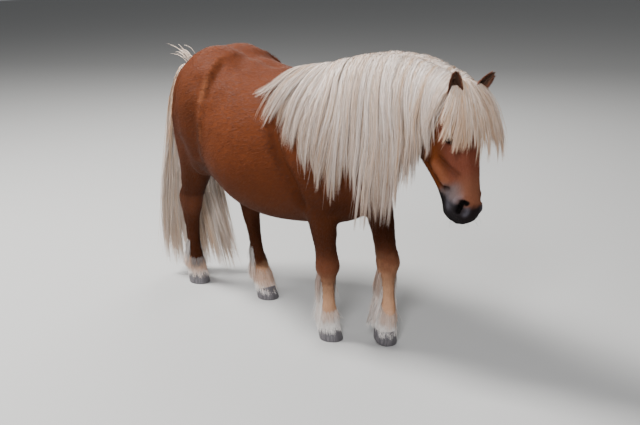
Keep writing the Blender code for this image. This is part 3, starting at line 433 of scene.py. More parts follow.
def coatFinish():
    finish, shader, add, link = newFinish("coatSkin", 0.75, 0.04)
    tint = add("Attribute", attribute_name="Coat").outputs["Color"]
    down = add("Attribute", attribute_name="Downward")
    fine = add("Mix", data_type="FLOAT")
    link(down.outputs["Fac"], fine.inputs["Factor"])
    link(stretchedNoise(add, link, (90, 520, 320)), fine.inputs["A"])
    link(stretchedNoise(add, link, (520, 520, 80)), fine.inputs["B"])
    broad = stretchedNoise(add, link, (1, 1, 1), 9.0, 3.0)
    streaked = varied(add, link, tint, fine.outputs["Result"], 0.84, 1.15)
    link(varied(add, link, streaked, broad, 0.93, 1.07), shader["Base Color"])
    bumped(add, link, shader, fine.outputs["Result"], 0.25, 0.0012)
    return finish


def hairFinish(name, roughness, specular):
    finish, shader, add, link = newFinish(name, roughness, specular)
    tint = add("Attribute", attribute_name="Tone").outputs["Color"]
    fine = stretchedNoise(add, link, (160, 160, 12))
    link(varied(add, link, tint, fine, 0.88, 1.08), shader["Base Color"])
    return finish


skinForm = {
    "nodes": ["head", "neck", "torso"] + ["leg_" + name for name in legs],
    "voxel": 0.0074, "fatten": 0.0006, "bare": 0.262, "bodyRounds": 320, "legRounds": 10, "headRounds": 12,
    "bodyCoat": 0.0028, "legCoat": 0.0010, "faceCoat": 0.0008,
    # the dock, inside the root of the tail
    "dock": ((-0.540, 0.0, 0.870, 0.030), (-0.580, 0.0, 0.888, 0.027), (-0.610, 0.0, 0.878, 0.024),
             (-0.628, 0.0, 0.838, 0.019), (-0.634, 0.0, 0.770, 0.015), (-0.633, 0.0, 0.690, 0.010)),
    # below the knee: height, half width, forward and backward radius of the bare leg
    "shank": ((0.260, 0.037, 0.037, 0.038), (0.215, 0.027, 0.028, 0.035), (0.160, 0.026, 0.027, 0.035),
              (0.118, 0.034, 0.034, 0.041), (0.085, 0.031, 0.031, 0.035), (0.050, 0.036, 0.037, 0.037)),
}
# Swells and hollows of muscle and bone on both sides: points along it, radius, height
bodyStrokes = {
    "flank fold": (foldEdge[:5], 0.015, 0.0060),
    "before fold": (foldHollow, 0.014, -0.0050),
    "barrel": (((-0.120, 0.250, 0.660), (0.060, 0.260, 0.660)), 0.120, 0.006),
    "flank": (((-0.120, 0.215, 0.840), (-0.150, 0.235, 0.800)), 0.050, -0.006),
    "croup": (((-0.420, 0.085, 0.945), (-0.320, 0.079, 0.975), (-0.240, 0.070, 0.975)), 0.042, 0.012),
    "before croup": (((-0.200, 0.050, 0.975), (-0.150, 0.095, 0.945)), 0.035, -0.007),
    "loin": (((-0.130, 0.030, 0.960), (-0.020, 0.035, 0.940)), 0.045, 0.006),
    "hip point": (((-0.262, 0.120, 0.940), (-0.240, 0.150, 0.915)), 0.030, 0.009),
    "buttock": (((-0.510, 0.080, 0.860), (-0.520, 0.090, 0.650)), 0.050, 0.006),
    "thigh groove": (((-0.470, 0.150, 0.860), (-0.455, 0.175, 0.740), (-0.440, 0.160, 0.620)), 0.018, -0.006),
    "stifle": (((-0.300, 0.185, 0.610), (-0.300, 0.165, 0.560)), 0.040, 0.008),
    "gaskin": (((-0.430, 0.135, 0.560), (-0.450, 0.120, 0.470)), 0.030, 0.006),
    "girth": (((0.168, 0.232, 0.790), (0.196, 0.225, 0.710), (0.219, 0.223, 0.661), (0.246, 0.211, 0.618),
               (0.261, 0.197, 0.576), (0.262, 0.174, 0.527)), 0.020, -0.017),
    "arm": (((0.270, 0.200, 0.740), (0.300, 0.190, 0.640)), 0.042, 0.009),
    "elbow": (((0.255, 0.175, 0.560), (0.250, 0.160, 0.520)), 0.028, 0.008),
    "shoulder blade": (((0.190, 0.150, 0.900), (0.400, 0.150, 0.640)), 0.030, 0.006),
    "shoulder point": (((0.425, 0.110, 0.640), (0.415, 0.120, 0.610)), 0.040, 0.009),
    "breast": (((0.450, 0.050, 0.620), (0.440, 0.045, 0.560)), 0.042, 0.009),
    "forearm": (((0.330, 0.130, 0.500), (0.320, 0.115, 0.420)), 0.030, 0.005),
    "breast groove": (((0.470, 0.0, 0.680), (0.440, 0.0, 0.500)), 0.014, -0.008),
    "back groove": (((-0.480, 0.0, 0.960), (-0.280, 0.0, 0.995), (-0.060, 0.0, 0.945)), 0.024, -0.010),
    "tail cleft": (((-0.580, 0.0, 0.800), (-0.560, 0.0, 0.640)), 0.022, -0.012),
}
# Below a knee or a hock, on each kind of leg: from, to, radius, height
jointStrokes = {
    "fore": (((-0.020, 0.036, 0.075), (-0.030, 0.030, 0.020), 0.014, -0.0015),
             ((0.012, 0.030, 0.030), (0.016, 0.028, -0.012), 0.016, 0.0025),
             ((-0.045, 0, 0.020), (-0.040, 0, -0.010), 0.016, 0.004)),
    "hind": (((-0.020, 0.036, 0.075), (-0.030, 0.030, 0.020), 0.014, -0.005),
             ((-0.052, 0, 0.025), (-0.040, 0, 0.085), 0.018, 0.010)),
}
# Behind the line of the flank the flesh lies deeper: width of the step, reach behind the line and beside it
flankStep = {
    "line": ((-0.232, 0.215, 0.830), (-0.220, 0.235, 0.760), (-0.212, 0.245, 0.700),
             (-0.208, 0.245, 0.640), (-0.212, 0.224, 0.570)),
    "depth": 0.013, "width": 0.055, "reach": 0.110, "aside": 0.070,
}
# Swells and hollows of the head, in its own directions: down the face, out of it, to the side
headStrokes = {
    "cheekbone": (((0.232, -0.096, 0.061), (0.258, -0.078, 0.057), (0.290, -0.062, 0.051)), 0.0170, 0.0130),
    "cheekbone edge": (((0.250, -0.100, 0.058), (0.276, -0.086, 0.054), (0.296, -0.068, 0.051)),
                       0.0085, 0.0060),
    "over cheekbone": (((0.214, -0.070, 0.066), (0.230, -0.055, 0.063), (0.250, -0.038, 0.056),
                        (0.272, -0.020, 0.047)), 0.0085, -0.0070),
    "under cheekbone": (((0.235, -0.142, 0.056), (0.262, -0.128, 0.055), (0.290, -0.108, 0.049),
                         (0.306, -0.092, 0.047), (0.309, -0.066, 0.049)), 0.0095, -0.0130),
    "lip bulge": (((0.330, -0.060, 0.048), (0.372, -0.062, 0.044)), 0.0200, 0.0050),
    "cheek": (((0.085, -0.120, 0.070), (0.125, -0.150, 0.065)), 0.0420, 0.0045),
    "jaw edge": (((0.150, -0.190, 0.040), (0.215, -0.165, 0.036)), 0.0160, 0.0030),
    "temple": (((0.085, 0.004, 0.052), (0.095, 0.000, 0.056)), 0.0170, -0.0055),
    "brow": (((0.118, -0.002, 0.066), (0.150, 0.000, 0.070)), 0.0110, 0.0050),
    "tear line": (((0.178, -0.028, 0.062), (0.235, -0.030, 0.052)), 0.0075, -0.0025),
    "nose side": (((0.225, -0.012, 0.046), (0.320, -0.018, 0.040)), 0.0120, -0.0035),
    "nose bone": (((0.170, 0.012, 0.026), (0.310, 0.008, 0.020)), 0.0110, 0.0022),
    "nostril wing": (((0.374, -0.006, 0.032), (0.392, -0.010, 0.033)), 0.0100, 0.0050),
    "over nostril": (((0.340, -0.010, 0.038), (0.342, -0.026, 0.046)), 0.0080, 0.0030),
    "nostril rim": (((0.352, -0.038, 0.050), (0.378, -0.046, 0.050), (0.396, -0.040, 0.046)), 0.0075, 0.0035),
    "mouth corner": (((0.345, -0.104, 0.044), (0.356, -0.098, 0.042)), 0.0080, -0.0035),
    "lip": (((0.398, -0.040, 0.034), (0.414, -0.040, 0.016)), 0.0120, 0.0030),
    "chin": (((0.392, -0.110, 0.012), (0.398, -0.110, 0.000)), 0.0170, 0.0050),
    "jaw channel": (((0.150, -0.215, 0.000), (0.260, -0.180, 0.000)), 0.0150, -0.0070),
}
# The nostril: a deep crescent, shallower at its upper end
nostrilStrokes = (
    (nostrilEdge[:2], 0.0055, -0.0060),
    (nostrilEdge[1:3], 0.0070, -0.0090),
    (nostrilEdge[2:4], 0.0090, -0.0150),
    (nostrilEdge[3:], 0.0080, -0.0130),
)
mouth = {
    "corner": (0.350, -0.093), "front": (0.428, -0.056), "groove": 0.0024, "depth": 0.0045,
    "lip": 0.0016, "lipAway": 0.006, "lipWidth": 0.005,
}


def nodeCopy(name):
    # a solid's surface, merged and a little fatter, with a leg's built-in locks drawn in
    work = bmesh.new()
    work.from_mesh(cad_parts[name].data)
    bmesh.ops.remove_doubles(work, verts=work.verts, dist=0.00002)
    work.normal_update()
    co = np.array([v.co - shift + v.normal * skinForm["fatten"] for v in work.verts])
    if name.startswith("leg_"):
        leg = legs[name[4:]]
        rows = np.array(skinForm["shank"])[::-1]
        half, front, back = (np.interp(co[:, 2], rows[:, 0], rows[:, i]) for i in (1, 2, 3))
        off = co[:, :2] - legMiddle(leg, co[:, 2])
        reach = np.hypot(off[:, 0] / np.where(off[:, 0] > 0, front, back), off[:, 1] / half)
        low = co[:, 2] < skinForm["bare"]
        co[low, :2] -= (off * (1 - 1 / np.maximum(reach, 1))[:, None])[low]
    movePoints(work, co)
    return meshFrom(work)


def gatherBody():
    whole = bmesh.new()
    for name in skinForm["nodes"] + ["eye_right", "eye_left"]:
        part = nodeCopy(name)
        whole.from_mesh(part)
        bpy.data.meshes.remove(part)
    for x, y, z, radius in through(skinForm["dock"], np.linspace(0, 1, 22)):
        place = Matrix.Translation((x, y, z)) @ Matrix.Diagonal((radius, radius, radius, 1))
        bmesh.ops.create_icosphere(whole, subdivisions=2, radius=1, matrix=place)
    return evaluated(meshFrom(whole), ("REMESH", {"mode": "VOXEL", "voxel_size": skinForm["voxel"]}))


def relax(mesh, rounds, weights=(0.6, -0.6)):
    # smooths each point as many times as its own count says, without shrinking
    co = placesOf(mesh)
    ends = np.empty(len(mesh.edges) * 2, np.int32)
    mesh.edges.foreach_get("vertices", ends)
    a, b = ends.reshape(-1, 2).T
    count = len(co)
    degree = np.maximum(np.bincount(a, minlength=count) + np.bincount(b, minlength=count), 1)
    for k in range(int(rounds.max())):
        free = (np.clip(rounds - k, 0, 1))[:, None]
        for weight in weights:
            mean = np.stack([np.bincount(a, co[b, i], count) + np.bincount(b, co[a, i], count)
                             for i in range(3)], 1) / degree[:, None]
            co = co + (mean - co) * weight * free
    setPlaces(mesh, co)


def refine(mesh, wanted):
    # splits the faces whose middle is wanted into four
    work = bmesh.new()
    work.from_mesh(mesh)
    work.faces.ensure_lookup_table()
    middles = np.array([f.calc_center_median() for f in work.faces])
    chosen = {e for f, yes in zip(work.faces, wanted(middles)) if yes for e in f.edges}
    bmesh.ops.subdivide_edges(work, edges=list(chosen), cuts=1, use_grid_fill=True)
    work.to_mesh(mesh)
    work.free()
    mesh.update()


def pressed(co, normals, points, radius, height, power=2.0):
    # a rounded ridge or groove along a line of points, pressed into the surface
    away = nearLine(co, points)
    return normals * (height * np.exp(-np.minimum((away / radius) ** power, 50)))[:, None]


def bothSides(points, axis):
    # a line of points, and its mirror image unless it runs down the middle
    line = np.array(points, float)
    turn = np.ones(3)
    turn[axis] = -1
    return [line * turn, line] if line[0, axis] else [line]


def sculptBody(mesh):
    co, normals = placesOf(mesh), normalsOf(mesh)
    moved = np.zeros_like(co)
    for points, radius, height in bodyStrokes.values():
        for line in bothSides(points, 1):
            moved += pressed(co, normals, line, radius, height)
    for line in bothSides(flankStep["line"], 1):
        spots = through(line, np.linspace(0, 1, 60))
        away, nearest = np.full(len(co), 9.0), np.zeros(len(co), int)
        for i, spot in enumerate(spots):
            gap = np.linalg.norm(co - spot, axis=1)
            closer = gap < away
            away[closer], nearest[closer] = gap[closer], i
        behind = spots[nearest, 0] - co[:, 0]
        aside = np.sqrt(np.maximum(away ** 2 - behind ** 2, 0))
        share = smoothStep(0, flankStep["width"], behind)
        share *= np.exp(-(behind / flankStep["reach"]) ** 2 - (aside / flankStep["aside"]) ** 2)
        share *= smoothStep(0, 18, nearest) * smoothStep(59, 50, nearest)
        moved -= normals * (flankStep["depth"] * share)[:, None]
    for name, leg in legs.items():
        joint, fetlock = np.array(leg["middle"]), np.array(leg["fetlock"])
        for side in (-1, 1):
            tendon = joint + (-0.012, 0.030 * side, -0.06), fetlock + (-0.012, 0.030 * side, 0.03)
            moved += pressed(co, normals, tendon, 0.008, -0.0035)
        for start, end, radius, height in jointStrokes[name[-4:]]:
            for line in bothSides((start, end), 1):
                moved += pressed(co, normals, joint + line, radius, height)
    setPlaces(mesh, co + moved)


def pressHead(mesh, strokes, power=2.0):
    co, normals = placesOf(mesh), normalsOf(mesh)
    moved = np.zeros_like(co)
    for points, radius, height in strokes:
        for line in bothSides(points, 2):
            moved += pressed(co, normals, onHead(line), radius, height, power)
    setPlaces(mesh, co + moved)


def sculptHead(mesh):
    pressHead(mesh, headStrokes.values())
    pressHead(mesh, nostrilStrokes, 3.0)
    co, normals = placesOf(mesh), normalsOf(mesh)
    place = inHead(co)
    corner, front = np.array(mouth["corner"]), np.array(mouth["front"])
    line = unit(front - corner)
    onward = (place[:, :2] - corner) @ line
    off = (place[:, :2] - corner) @ np.array((-line[1], line[0]))
    inside = smoothStep(-0.004, 0.010, onward) * headShare(co)
    groove = -mouth["depth"] * np.exp(-(off / mouth["groove"]) ** 2)
    lips = mouth["lip"] * np.exp(-((np.abs(off) - mouth["lipAway"]) / mouth["lipWidth"]) ** 2)
    setPlaces(mesh, co + normals * ((groove + lips) * inside)[:, None])


def sculptEyes(mesh):
    # the lids lie on the ball, and the skin behind their opening is drawn in under it
    co = placesOf(mesh)
    for side in (-1, 1):
        axes, middle = eyeFrame(side)
        q, ring = eyeRing(co, side)
        radius = np.linalg.norm(q, axis=1)
        near = (radius < 0.045) & (q[:, 2] > 0.002)
        lid = eye["radius"] + eye["lidThick"]
        for height, place, width in (eye["lidRim"], eye["lidGroove"]):
            lid = lid + height * np.exp(-((ring - place) / width) ** 2)
        over = smoothStep(2.5, 1.5, ring)
        wanted = mix(radius, np.maximum(lid, radius - 0.012), over)
        drawnIn = mix(wanted, eye["radius"] - eye["sunk"], smoothStep(1.03, 0.90, ring))
        wanted = np.where(ring < 1.0, drawnIn, wanted)
        co[near] = (middle + (q * (wanted / np.maximum(radius, 1e-6))[:, None]) @ axes)[near]
    setPlaces(mesh, co)


def makeSkin():
    mesh = gatherBody()
    co = placesOf(mesh)
    onHeadNow = headShare(co)
    low = smoothStep(0.50, 0.38, co[:, 2])
    rounds = mix(skinForm["bodyRounds"], skinForm["legRounds"], low)
    rounds = mix(rounds, skinForm["headRounds"], onHeadNow)
    relax(mesh, rounds)
    sculptBody(mesh)
    co, normals = placesOf(mesh), normalsOf(mesh)
    depth = mix(mix(skinForm["bodyCoat"], skinForm["legCoat"], low), skinForm["faceCoat"], onHeadNow)
    setPlaces(mesh, co - normals * depth[:, None])
    refine(mesh, lambda p: headShare(p) > 0.5)

    def closeWork(points):
        place = inHead(points)
        tip = (place[:, 0] > 0.325) & (place[:, 1] > -0.115)
        for side in (-1, 1):
            tip |= np.linalg.norm(points - eyeFrame(side)[1], axis=1) < 0.038
        return tip & (headShare(points) > 0.5)

    refine(mesh, closeWork)
    relax(mesh, 3.0 * headShare(placesOf(mesh)))
    sculptHead(mesh)
    relax(mesh, 1.0 * headShare(placesOf(mesh)))
    sculptEyes(mesh)
    mesh.polygons.foreach_set("use_smooth", np.full(len(mesh.polygons), True))
    co = placesOf(mesh)
    setColour(mesh, "Coat", markings(co))
    downward = mesh.attributes.new("Downward", "FLOAT", "POINT").data
    legsAndHead = np.maximum(smoothStep(0.56, 0.44, co[:, 2]), headShare(co))
    downward.foreach_set("value", legsAndHead.astype(np.float32))
    return mesh


skin = makeSkin()
tris = np.array([t.vertices for t in (skin.calc_loop_triangles() or skin.loop_triangles)])
skinPlaces, skinNormals = placesOf(skin), normalsOf(skin)
hide = BVHTree.FromPolygons(skinPlaces.tolist(), tris.tolist())
print("skin", len(skinPlaces), "points", len(tris), "triangles")
addPiece("skin", skin, coatFinish(), "coat", *skinForm["nodes"])


def ribbons(lines, outs, width, roll, profile=0.55):
    # thin flat strands along lines (strand, station, xyz), each ending in a point
    n, k, _ = lines.shape
    along = unit(np.gradient(lines, axis=1))
    across = unit(np.cross(along, outs))
    across = across * np.cos(roll)[:, None, None] + np.cross(along, across) * np.sin(roll)[:, None, None]
    t = np.linspace(0, 1, k)[None, :, None]
    half = width[:, None, None] / 2 * (profile + (1.3 - profile) * np.minimum(t * 3, 1)) * (1 - 0.72 * t ** 2)
    sides = np.stack([lines - across * half, lines + across * half], 2)[:, :-1].reshape(n, -1, 3)
    places = np.concatenate([sides, lines[:, -1:]], 1)
    per = 2 * (k - 1) + 1
    start = (np.arange(n) * per)[:, None]
    s = 2 * np.arange(k - 2)
    quad = np.stack([s, s + 1, s + 3, s + 2], 1).ravel()[None]
    quads = (start + quad).reshape(-1, 4)
    tips = start + np.array([per - 3, per - 2, per - 1])
    return places.reshape(-1, 3), quads, tips


def hairMesh(name, lines, outs, width, roll, colours, roots, shade=0.10, fade=(0, 0, 0)):
    # colours: one for each strand; roots: each strand's place on the unwrap, from 0 to 1;
    # shade darkens the root, fade darkens towards the tip: both are painted shade within the hair
    k = lines.shape[1]
    places, quads, tips = ribbons(lines, outs, width, roll)
    mesh = newMesh(name, places, [quads, tips])
    t = np.append(np.repeat(np.linspace(0, 1, k)[:-1], 2), 1)
    tone = (1 - shade + shade * np.minimum(t * 2.5, 1))[:, None] * (1 - np.array(fade) * t[:, None] ** 1.3)
    setColour(mesh, "Tone", (colours[:, None] * tone[None]).reshape(-1, 3))
    patch = 0.003
    local = np.stack([np.append(np.tile([0, 1], k - 1), 0.5), t], 1) * patch
    uv = (np.clip(roots, 0, 1)[:, None] * (1 - patch) + local[None]).reshape(-1, 2)
    corners = np.concatenate([quads.ravel(), tips.ravel()])
    layer = mesh.uv_layers.new(name="OFBake")
    layer.data.foreach_set("uv", np.ascontiguousarray(uv[corners], np.float32).ravel())
    return mesh


def bezier(controls, t):
    # controls (..., 4, 3) read at t
    a, b, c, d = (controls[..., i, None, :] for i in range(4))
    t = np.asarray(t)[:, None]
    return a * (1 - t) ** 3 + 3 * b * t * (1 - t) ** 2 + 3 * c * t ** 2 * (1 - t) + d * t ** 3


def clearOf(point, distance):
    near, normal, _, _ = hide.find_nearest(point)
    out = point - near
    if out.dot(normal) < 0 or out.length < distance:
        return near + normal * distance, normal
    return point, (out.normalized() if out.length > 0.004 else normal)


def drape(form, controlsAt):
    # lays a grid of lines over the body, from the four controls of the line at each layer and share,
    # both from 0 to 1; the outer layers lie farther off
    layers, shares = form["grid"]
    stations = form["laid"]
    distance = form["off"] + form["lift"] * np.linspace(1, 0, layers)
    controls = np.array([[controlsAt(i / (layers - 1), j / (shares - 1)) for j in range(shares)]
                         for i in range(layers)])
    lines = bezier(controls, np.linspace(0, 1, stations))
    outs = np.zeros_like(lines)
    for layer, share in np.ndindex(lines.shape[:2]):
        line = [Vector(p) for p in lines[layer, share]]
        for turn in range(4):
            for i in range(1, stations):
                line[i], out = clearOf(line[i], distance[layer] * min(1, i / 4))
                line[i].z = max(line[i].z, form["floor"])
                outs[layer, share, i] = out
            if turn < 3:
                for i in range(2, stations - 1):
                    line[i] = line[i] * 0.5 + (line[i - 1] + line[i + 1]) * 0.25
        lines[layer, share] = line
    outs[:, :, 0] = outs[:, :, 1]
    for _ in range(3):
        outs[:, :, 1:-1] = unit(outs[:, :, :-2] + outs[:, :, 1:-1] + outs[:, :, 2:])
    return lines, outs


def readGrid(grid, layer, share, t):
    # a smooth reading of a grid (layer, share, station, 3), for arrays of places from 0 to 1
    result = 0
    spots = []
    for value, size in zip((layer[:, None], share[:, None], t), grid.shape[:3]):
        at = np.clip(value, 0, 1) * (size - 1)
        low = np.minimum(at.astype(int), size - 2) if size > 1 else np.zeros(at.shape, int)
        spots.append((low, at - low))
    for corner in np.ndindex(2, 2, 2):
        index, weight = [], 1
        for bit, (low, part), size in zip(corner, spots, grid.shape[:3]):
            index.append(np.broadcast_to(np.minimum(low + bit, size - 1), t.shape))
            weight = weight * (part if bit else 1 - part)
        result = result + grid[tuple(index)] * np.broadcast_to(weight, t.shape)[..., None]
    return result


# What all hair has in common. Each kind says what differs, and how many strands it has in how many locks,
# each split into so many small ones
hairForm = {
    "laid": 25, "lift": 0, "stations": 9, "dense": (1, 1), "inward": 1.0, "layerWeight": 0.12,
    "uneven": 0.16, "ragged": 0.34, "gather": 0.88, "gatherFrom": 0.10, "gatherFar": 0.84, "bends": 0.7,
    "lean": 0.014, "puff": 0.003, "strays": 0.05, "ripple": 0.0010, "waves": 3.0, "floor": 0.008,
}


def strands(grid, outs, form, seed):
    # hair from a draped grid: strands gather into small locks, small locks into large ones, and a few stray
    draw = np.random.default_rng(seed)
    n = form["strands"] // 1
    steps = np.linspace(0, 1, 400)
    dense = through(np.array(form["dense"], float)[:, None], steps)[:, 0]
    layer = draw.random(n) ** form["inward"]
    share = np.interp(draw.random(n), np.cumsum(dense) / dense.sum(), steps)
    large = form["locks"]
    small = large * form["split"]
    largeLayer, largeShare = draw.random(large), (np.arange(large) + draw.random(large)) / large
    smallLayer, smallShare = draw.random(small), (np.arange(small) + draw.random(small)) / small

    def nearestLock(layerA, shareA, layerB, shareB):
        gap = (shareA[:, None] - shareB) ** 2 + ((layerA[:, None] - layerB) * form["layerWeight"]) ** 2
        return np.argmin(gap, 1)

    mine = nearestLock(layer, share, smallLayer, smallShare)
    parent = nearestLock(smallLayer, smallShare, largeLayer, largeShare)[mine]
    least = 1 - form["uneven"]
    reach = draw.uniform(least, 1, large)[parent] * draw.uniform(least, 1, small)[mine]
    reach = reach * (1 - form["ragged"] * draw.random(n) ** 1.6)
    reach = reach / np.quantile(reach, 0.97)
    t = np.linspace(0, 1, form["stations"]) * np.clip(reach, 0, 1)[:, None]
    own = readGrid(grid, layer, share, t)
    near = readGrid(grid, smallLayer[mine], smallShare[mine], t)
    far = readGrid(grid, largeLayer[parent], largeShare[parent], t)
    out = unit(readGrid(outs, layer, share, t))

    def pulled(a, b, amount, start, end, count, which):
        pull = amount * draw.uniform(0.72, 1.0, count)[which] * draw.uniform(0.85, 1.04, n)
        pull = np.clip(pull[:, None] * smoothStep(start, end, t), 0, 0.985)[..., None]
        return a * (1 - pull) + b * pull

    lines = pulled(own, near, form["gather"], form["gatherFrom"], 1.05, small, mine)
    lines = pulled(lines, far, form["gatherFar"], 0.42, 1.12, large, parent)
    side = unit(np.cross(unit(np.gradient(lines, axis=1)), out))

    def swaying(count, which, amount):
        phase = draw.uniform(0, 6.3, count)[which][:, None]
        pace = draw.uniform(0.6, 1.4, count)[which][:, None]
        lean = (draw.normal(size=count) * form["lean"])[which][:, None] * t ** 1.5
        return amount * t ** 1.2 * np.sin(form["bends"] * pace * t * 2 * math.pi + phase) + lean

    def ownDraw():
        return draw.normal(size=(n, 1))

    bow = swaying(large, parent, form["sway"]) + swaying(small, mine, form["sway"] * 0.4) * 0.7
    fringe = ownDraw() * form["fringe"] * (0.3 + 0.7 * smoothStep(0, 0.3, t))
    lift = (draw.normal(size=small) * form["puff"])[mine][:, None] * t + np.abs(ownDraw()) * 0.0016
    stray = (draw.random(n) < form["strays"])[:, None] * t ** 1.5
    ripple = np.sin(t * form["waves"] * 6.3 + draw.uniform(0, 6.3, (n, 1)))
    ripple = form["ripple"] * smoothStep(0.0, 0.5, t) * ripple
    lines = lines + side * (bow + fringe + ripple + stray * ownDraw() * 0.02)[..., None]
    lines = lines + out * (lift * smoothStep(0, 0.15, t) + stray * np.abs(ownDraw()) * 0.010)[..., None]
    lines[..., 2] = np.maximum(lines[..., 2], form["floor"])
    return {"lines": lines, "outs": out, "layer": layer, "share": share, "lock": mine, "draw": draw}


hairTones = {
    "flax": (0.780, 0.620, 0.500), "pale": (0.920, 0.835, 0.775), "gold": (0.640, 0.410, 0.240),
    # deep is painted shade for the inner layers of hair; ash is a tone of its own and also the tail's inner
    # shade
    "ash": (0.420, 0.345, 0.285), "deep": (0.330, 0.235, 0.165),
}


def toned(hair, weights, inner="deep", inside=0.55):
    # each strand's colour: its lock's, its own, and darker towards the inner layers as painted shade
    draw, n = hair["draw"], len(hair["layer"])
    names = list(weights)
    chance = np.array([weights[name] for name in names], float)
    palette = np.array([hairTones[name] for name in names])
    ofLock = palette[draw.choice(len(names), hair["lock"].max() + 1, p=chance / chance.sum())][hair["lock"]]
    ofOwn = palette[draw.choice(len(names), n, p=chance / chance.sum())]
    colour = mix(ofLock, ofOwn, draw.uniform(0.2, 0.9, (n, 1)))
    colour = mix(colour, np.array(hairTones[inner]), (hair["layer"] ** 1.5 * inside)[:, None])
    return colour * draw.uniform(0.85, 1.08, (n, 1))


def strandMesh(name, hair, colours, width, shade=0.10, fade=(0, 0, 0)):
    n = len(colours)
    draw = hair["draw"]
    roots = np.stack([hair["share"], hair["layer"]], 1)
    return hairMesh(name, hair["lines"], hair["outs"], width * draw.uniform(0.7, 1.25, n),
                    draw.normal(size=n) * 0.5, colours, roots, shade, fade)


maneForm = {
    **hairForm, "grid": (5, 34), "off": 0.004, "lift": 0.022, "gather": 0.90, "gatherFrom": 0.20,
    "inward": 1.15,
}
mane = {
    # fade: painted shade, darker towards the tips of the hair
    "crest": (0.105, 0.815), "rise": 0.034, "width": 0.0011, "fade": (0.42, 0.47, 0.50),
    "right": {**maneForm, "side": -1, "start": -0.014, "strands": 26000, "locks": 52, "split": 9,
              "sway": 0.013, "fringe": 0.0020, "dense": (0.12, 0.22, 0.5, 0.95, 1, 1, 1, 1, 1, 1, 0.9),
              "tips": ((0.070, -0.228, 0.868), (0.150, -0.242, 0.780), (0.222, -0.240, 0.672),
                       (0.318, -0.222, 0.610), (0.400, -0.198, 0.575), (0.465, -0.168, 0.520),
                       (0.540, -0.148, 0.475), (0.600, -0.128, 0.480), (0.640, -0.115, 0.560),
                       (0.690, -0.110, 0.630), (0.735, -0.110, 0.730), (0.775, -0.105, 0.810))},
    "left": {**maneForm, "side": 1, "start": 0.002, "strands": 12500, "locks": 38, "split": 8,
             "sway": 0.012, "fringe": 0.0024,
             "tips": ((0.120, 0.158, 0.880), (0.200, 0.188, 0.825), (0.320, 0.198, 0.765),
                      (0.440, 0.178, 0.715), (0.550, 0.138, 0.705), (0.640, 0.118, 0.725),
                      (0.710, 0.108, 0.785), (0.765, 0.088, 0.865))},
}


def crestTop(x, y):
    return np.array(hide.ray_cast(Vector((x, y, 2)), Vector((0, 0, -1)))[0])


def maneGrid(fall):
    start, end = mane["crest"]
    side = fall["side"]

    def controlsAt(inner, share):
        aside = -0.016 * share + side * (fall["start"] + 0.022 * inner)
        root = crestTop(start + (end - start) * share, aside) - (0, 0, 0.003)
        tip = mix(root, through(fall["tips"], share), 1 - 0.16 * inner)
        rise = mane["rise"] * (0.3 + 0.9 * math.sin(math.pi * min(1, 0.05 + share)) ** 0.7)
        over = root + (0, side * 0.045, rise * (1 - 0.6 * inner) + fall["lift"] * (1 - inner))
        down = tip + ((root[0] - tip[0]) * 0.25, side * 0.010, (root[2] - tip[2]) * 0.45)
        return root, over, down, tip

    return drape(fall, controlsAt)


def makeMane():
    # the right side's hair is two pieces, to keep each one's count of faces down
    finish = hairFinish("maneHair", 0.42, 0.35)
    for name, seed, labels in (("right", 3, ("_over", "_under")), ("left", 4, ("",))):
        fall = mane[name]
        hair = strands(*maneGrid(fall), fall, seed)
        colours = toned(hair, {"flax": 4, "pale": 6.5, "gold": 1.7, "ash": 0.7})
        parts = len(labels)
        for part, label in enumerate(labels):
            few = {key: (value[part::parts] if isinstance(value, np.ndarray) else value)
                   for key, value in hair.items()}
            mesh = strandMesh("mane", few, colours[part::parts], mane["width"], 0.06, mane["fade"])
            addPiece("mane_" + name + label, mesh, finish, "hair", "mane")


makeMane()

forelock = {
    **hairForm, "grid": (5, 17), "off": 0.003, "lift": 0.018, "root": (0.822, -0.008), "spread": 0.054,
    # fade: painted shade, darker towards the tips of the hair
    "width": 0.0011, "fade": (0.12, 0.18, 0.24), "strands": 8500, "locks": 24, "split": 8,
    "layerWeight": 0.15, "uneven": 0.20, "ragged": 0.50, "gatherFar": 0.76, "sway": 0.006,
    "lean": 0.009, "fringe": 0.0016, "puff": 0.0025, "strays": 0.06, "ripple": 0.0008, "waves": 2.5,
    "tips": ((0.812, -0.134, 0.856), (0.846, -0.128, 0.806), (0.884, -0.092, 0.772),
             (0.912, -0.036, 0.745), (0.926, 0.022, 0.722), (0.925, 0.068, 0.732), (0.904, 0.098, 0.790)),
}


def forelockGrid():
    x, y = forelock["root"]

    def controlsAt(inner, share):
        back = 0.030 - 0.055 * inner
        root = crestTop(x - back, y + (share - 0.5) * forelock["spread"]) - (0, 0, 0.003)
        tip = mix(root, through(forelock["tips"], share), 1 - 0.12 * inner)
        rise = 0.026 + forelock["lift"] * (1 - inner)
        over = root + (0.035 + back * 0.8, (tip[1] - root[1]) * 0.5, rise)
        down = tip + (0.012, (root[1] - tip[1]) * 0.15, (root[2] - tip[2]) * 0.5)
        return root, over, down, tip

    return drape(forelock, controlsAt)


def makeForelock():
    hair = strands(*forelockGrid(), forelock, 6)
    colours = toned(hair, {"flax": 5, "pale": 4, "gold": 3, "ash": 0.5}, "gold", 0.7)
    mesh = strandMesh("forelock", hair, colours, forelock["width"], 0.06, forelock["fade"])
    addPiece("forelock_hair", mesh, hairFinish("forelockHair", 0.42, 0.35), "hair", "forelock")


makeForelock()

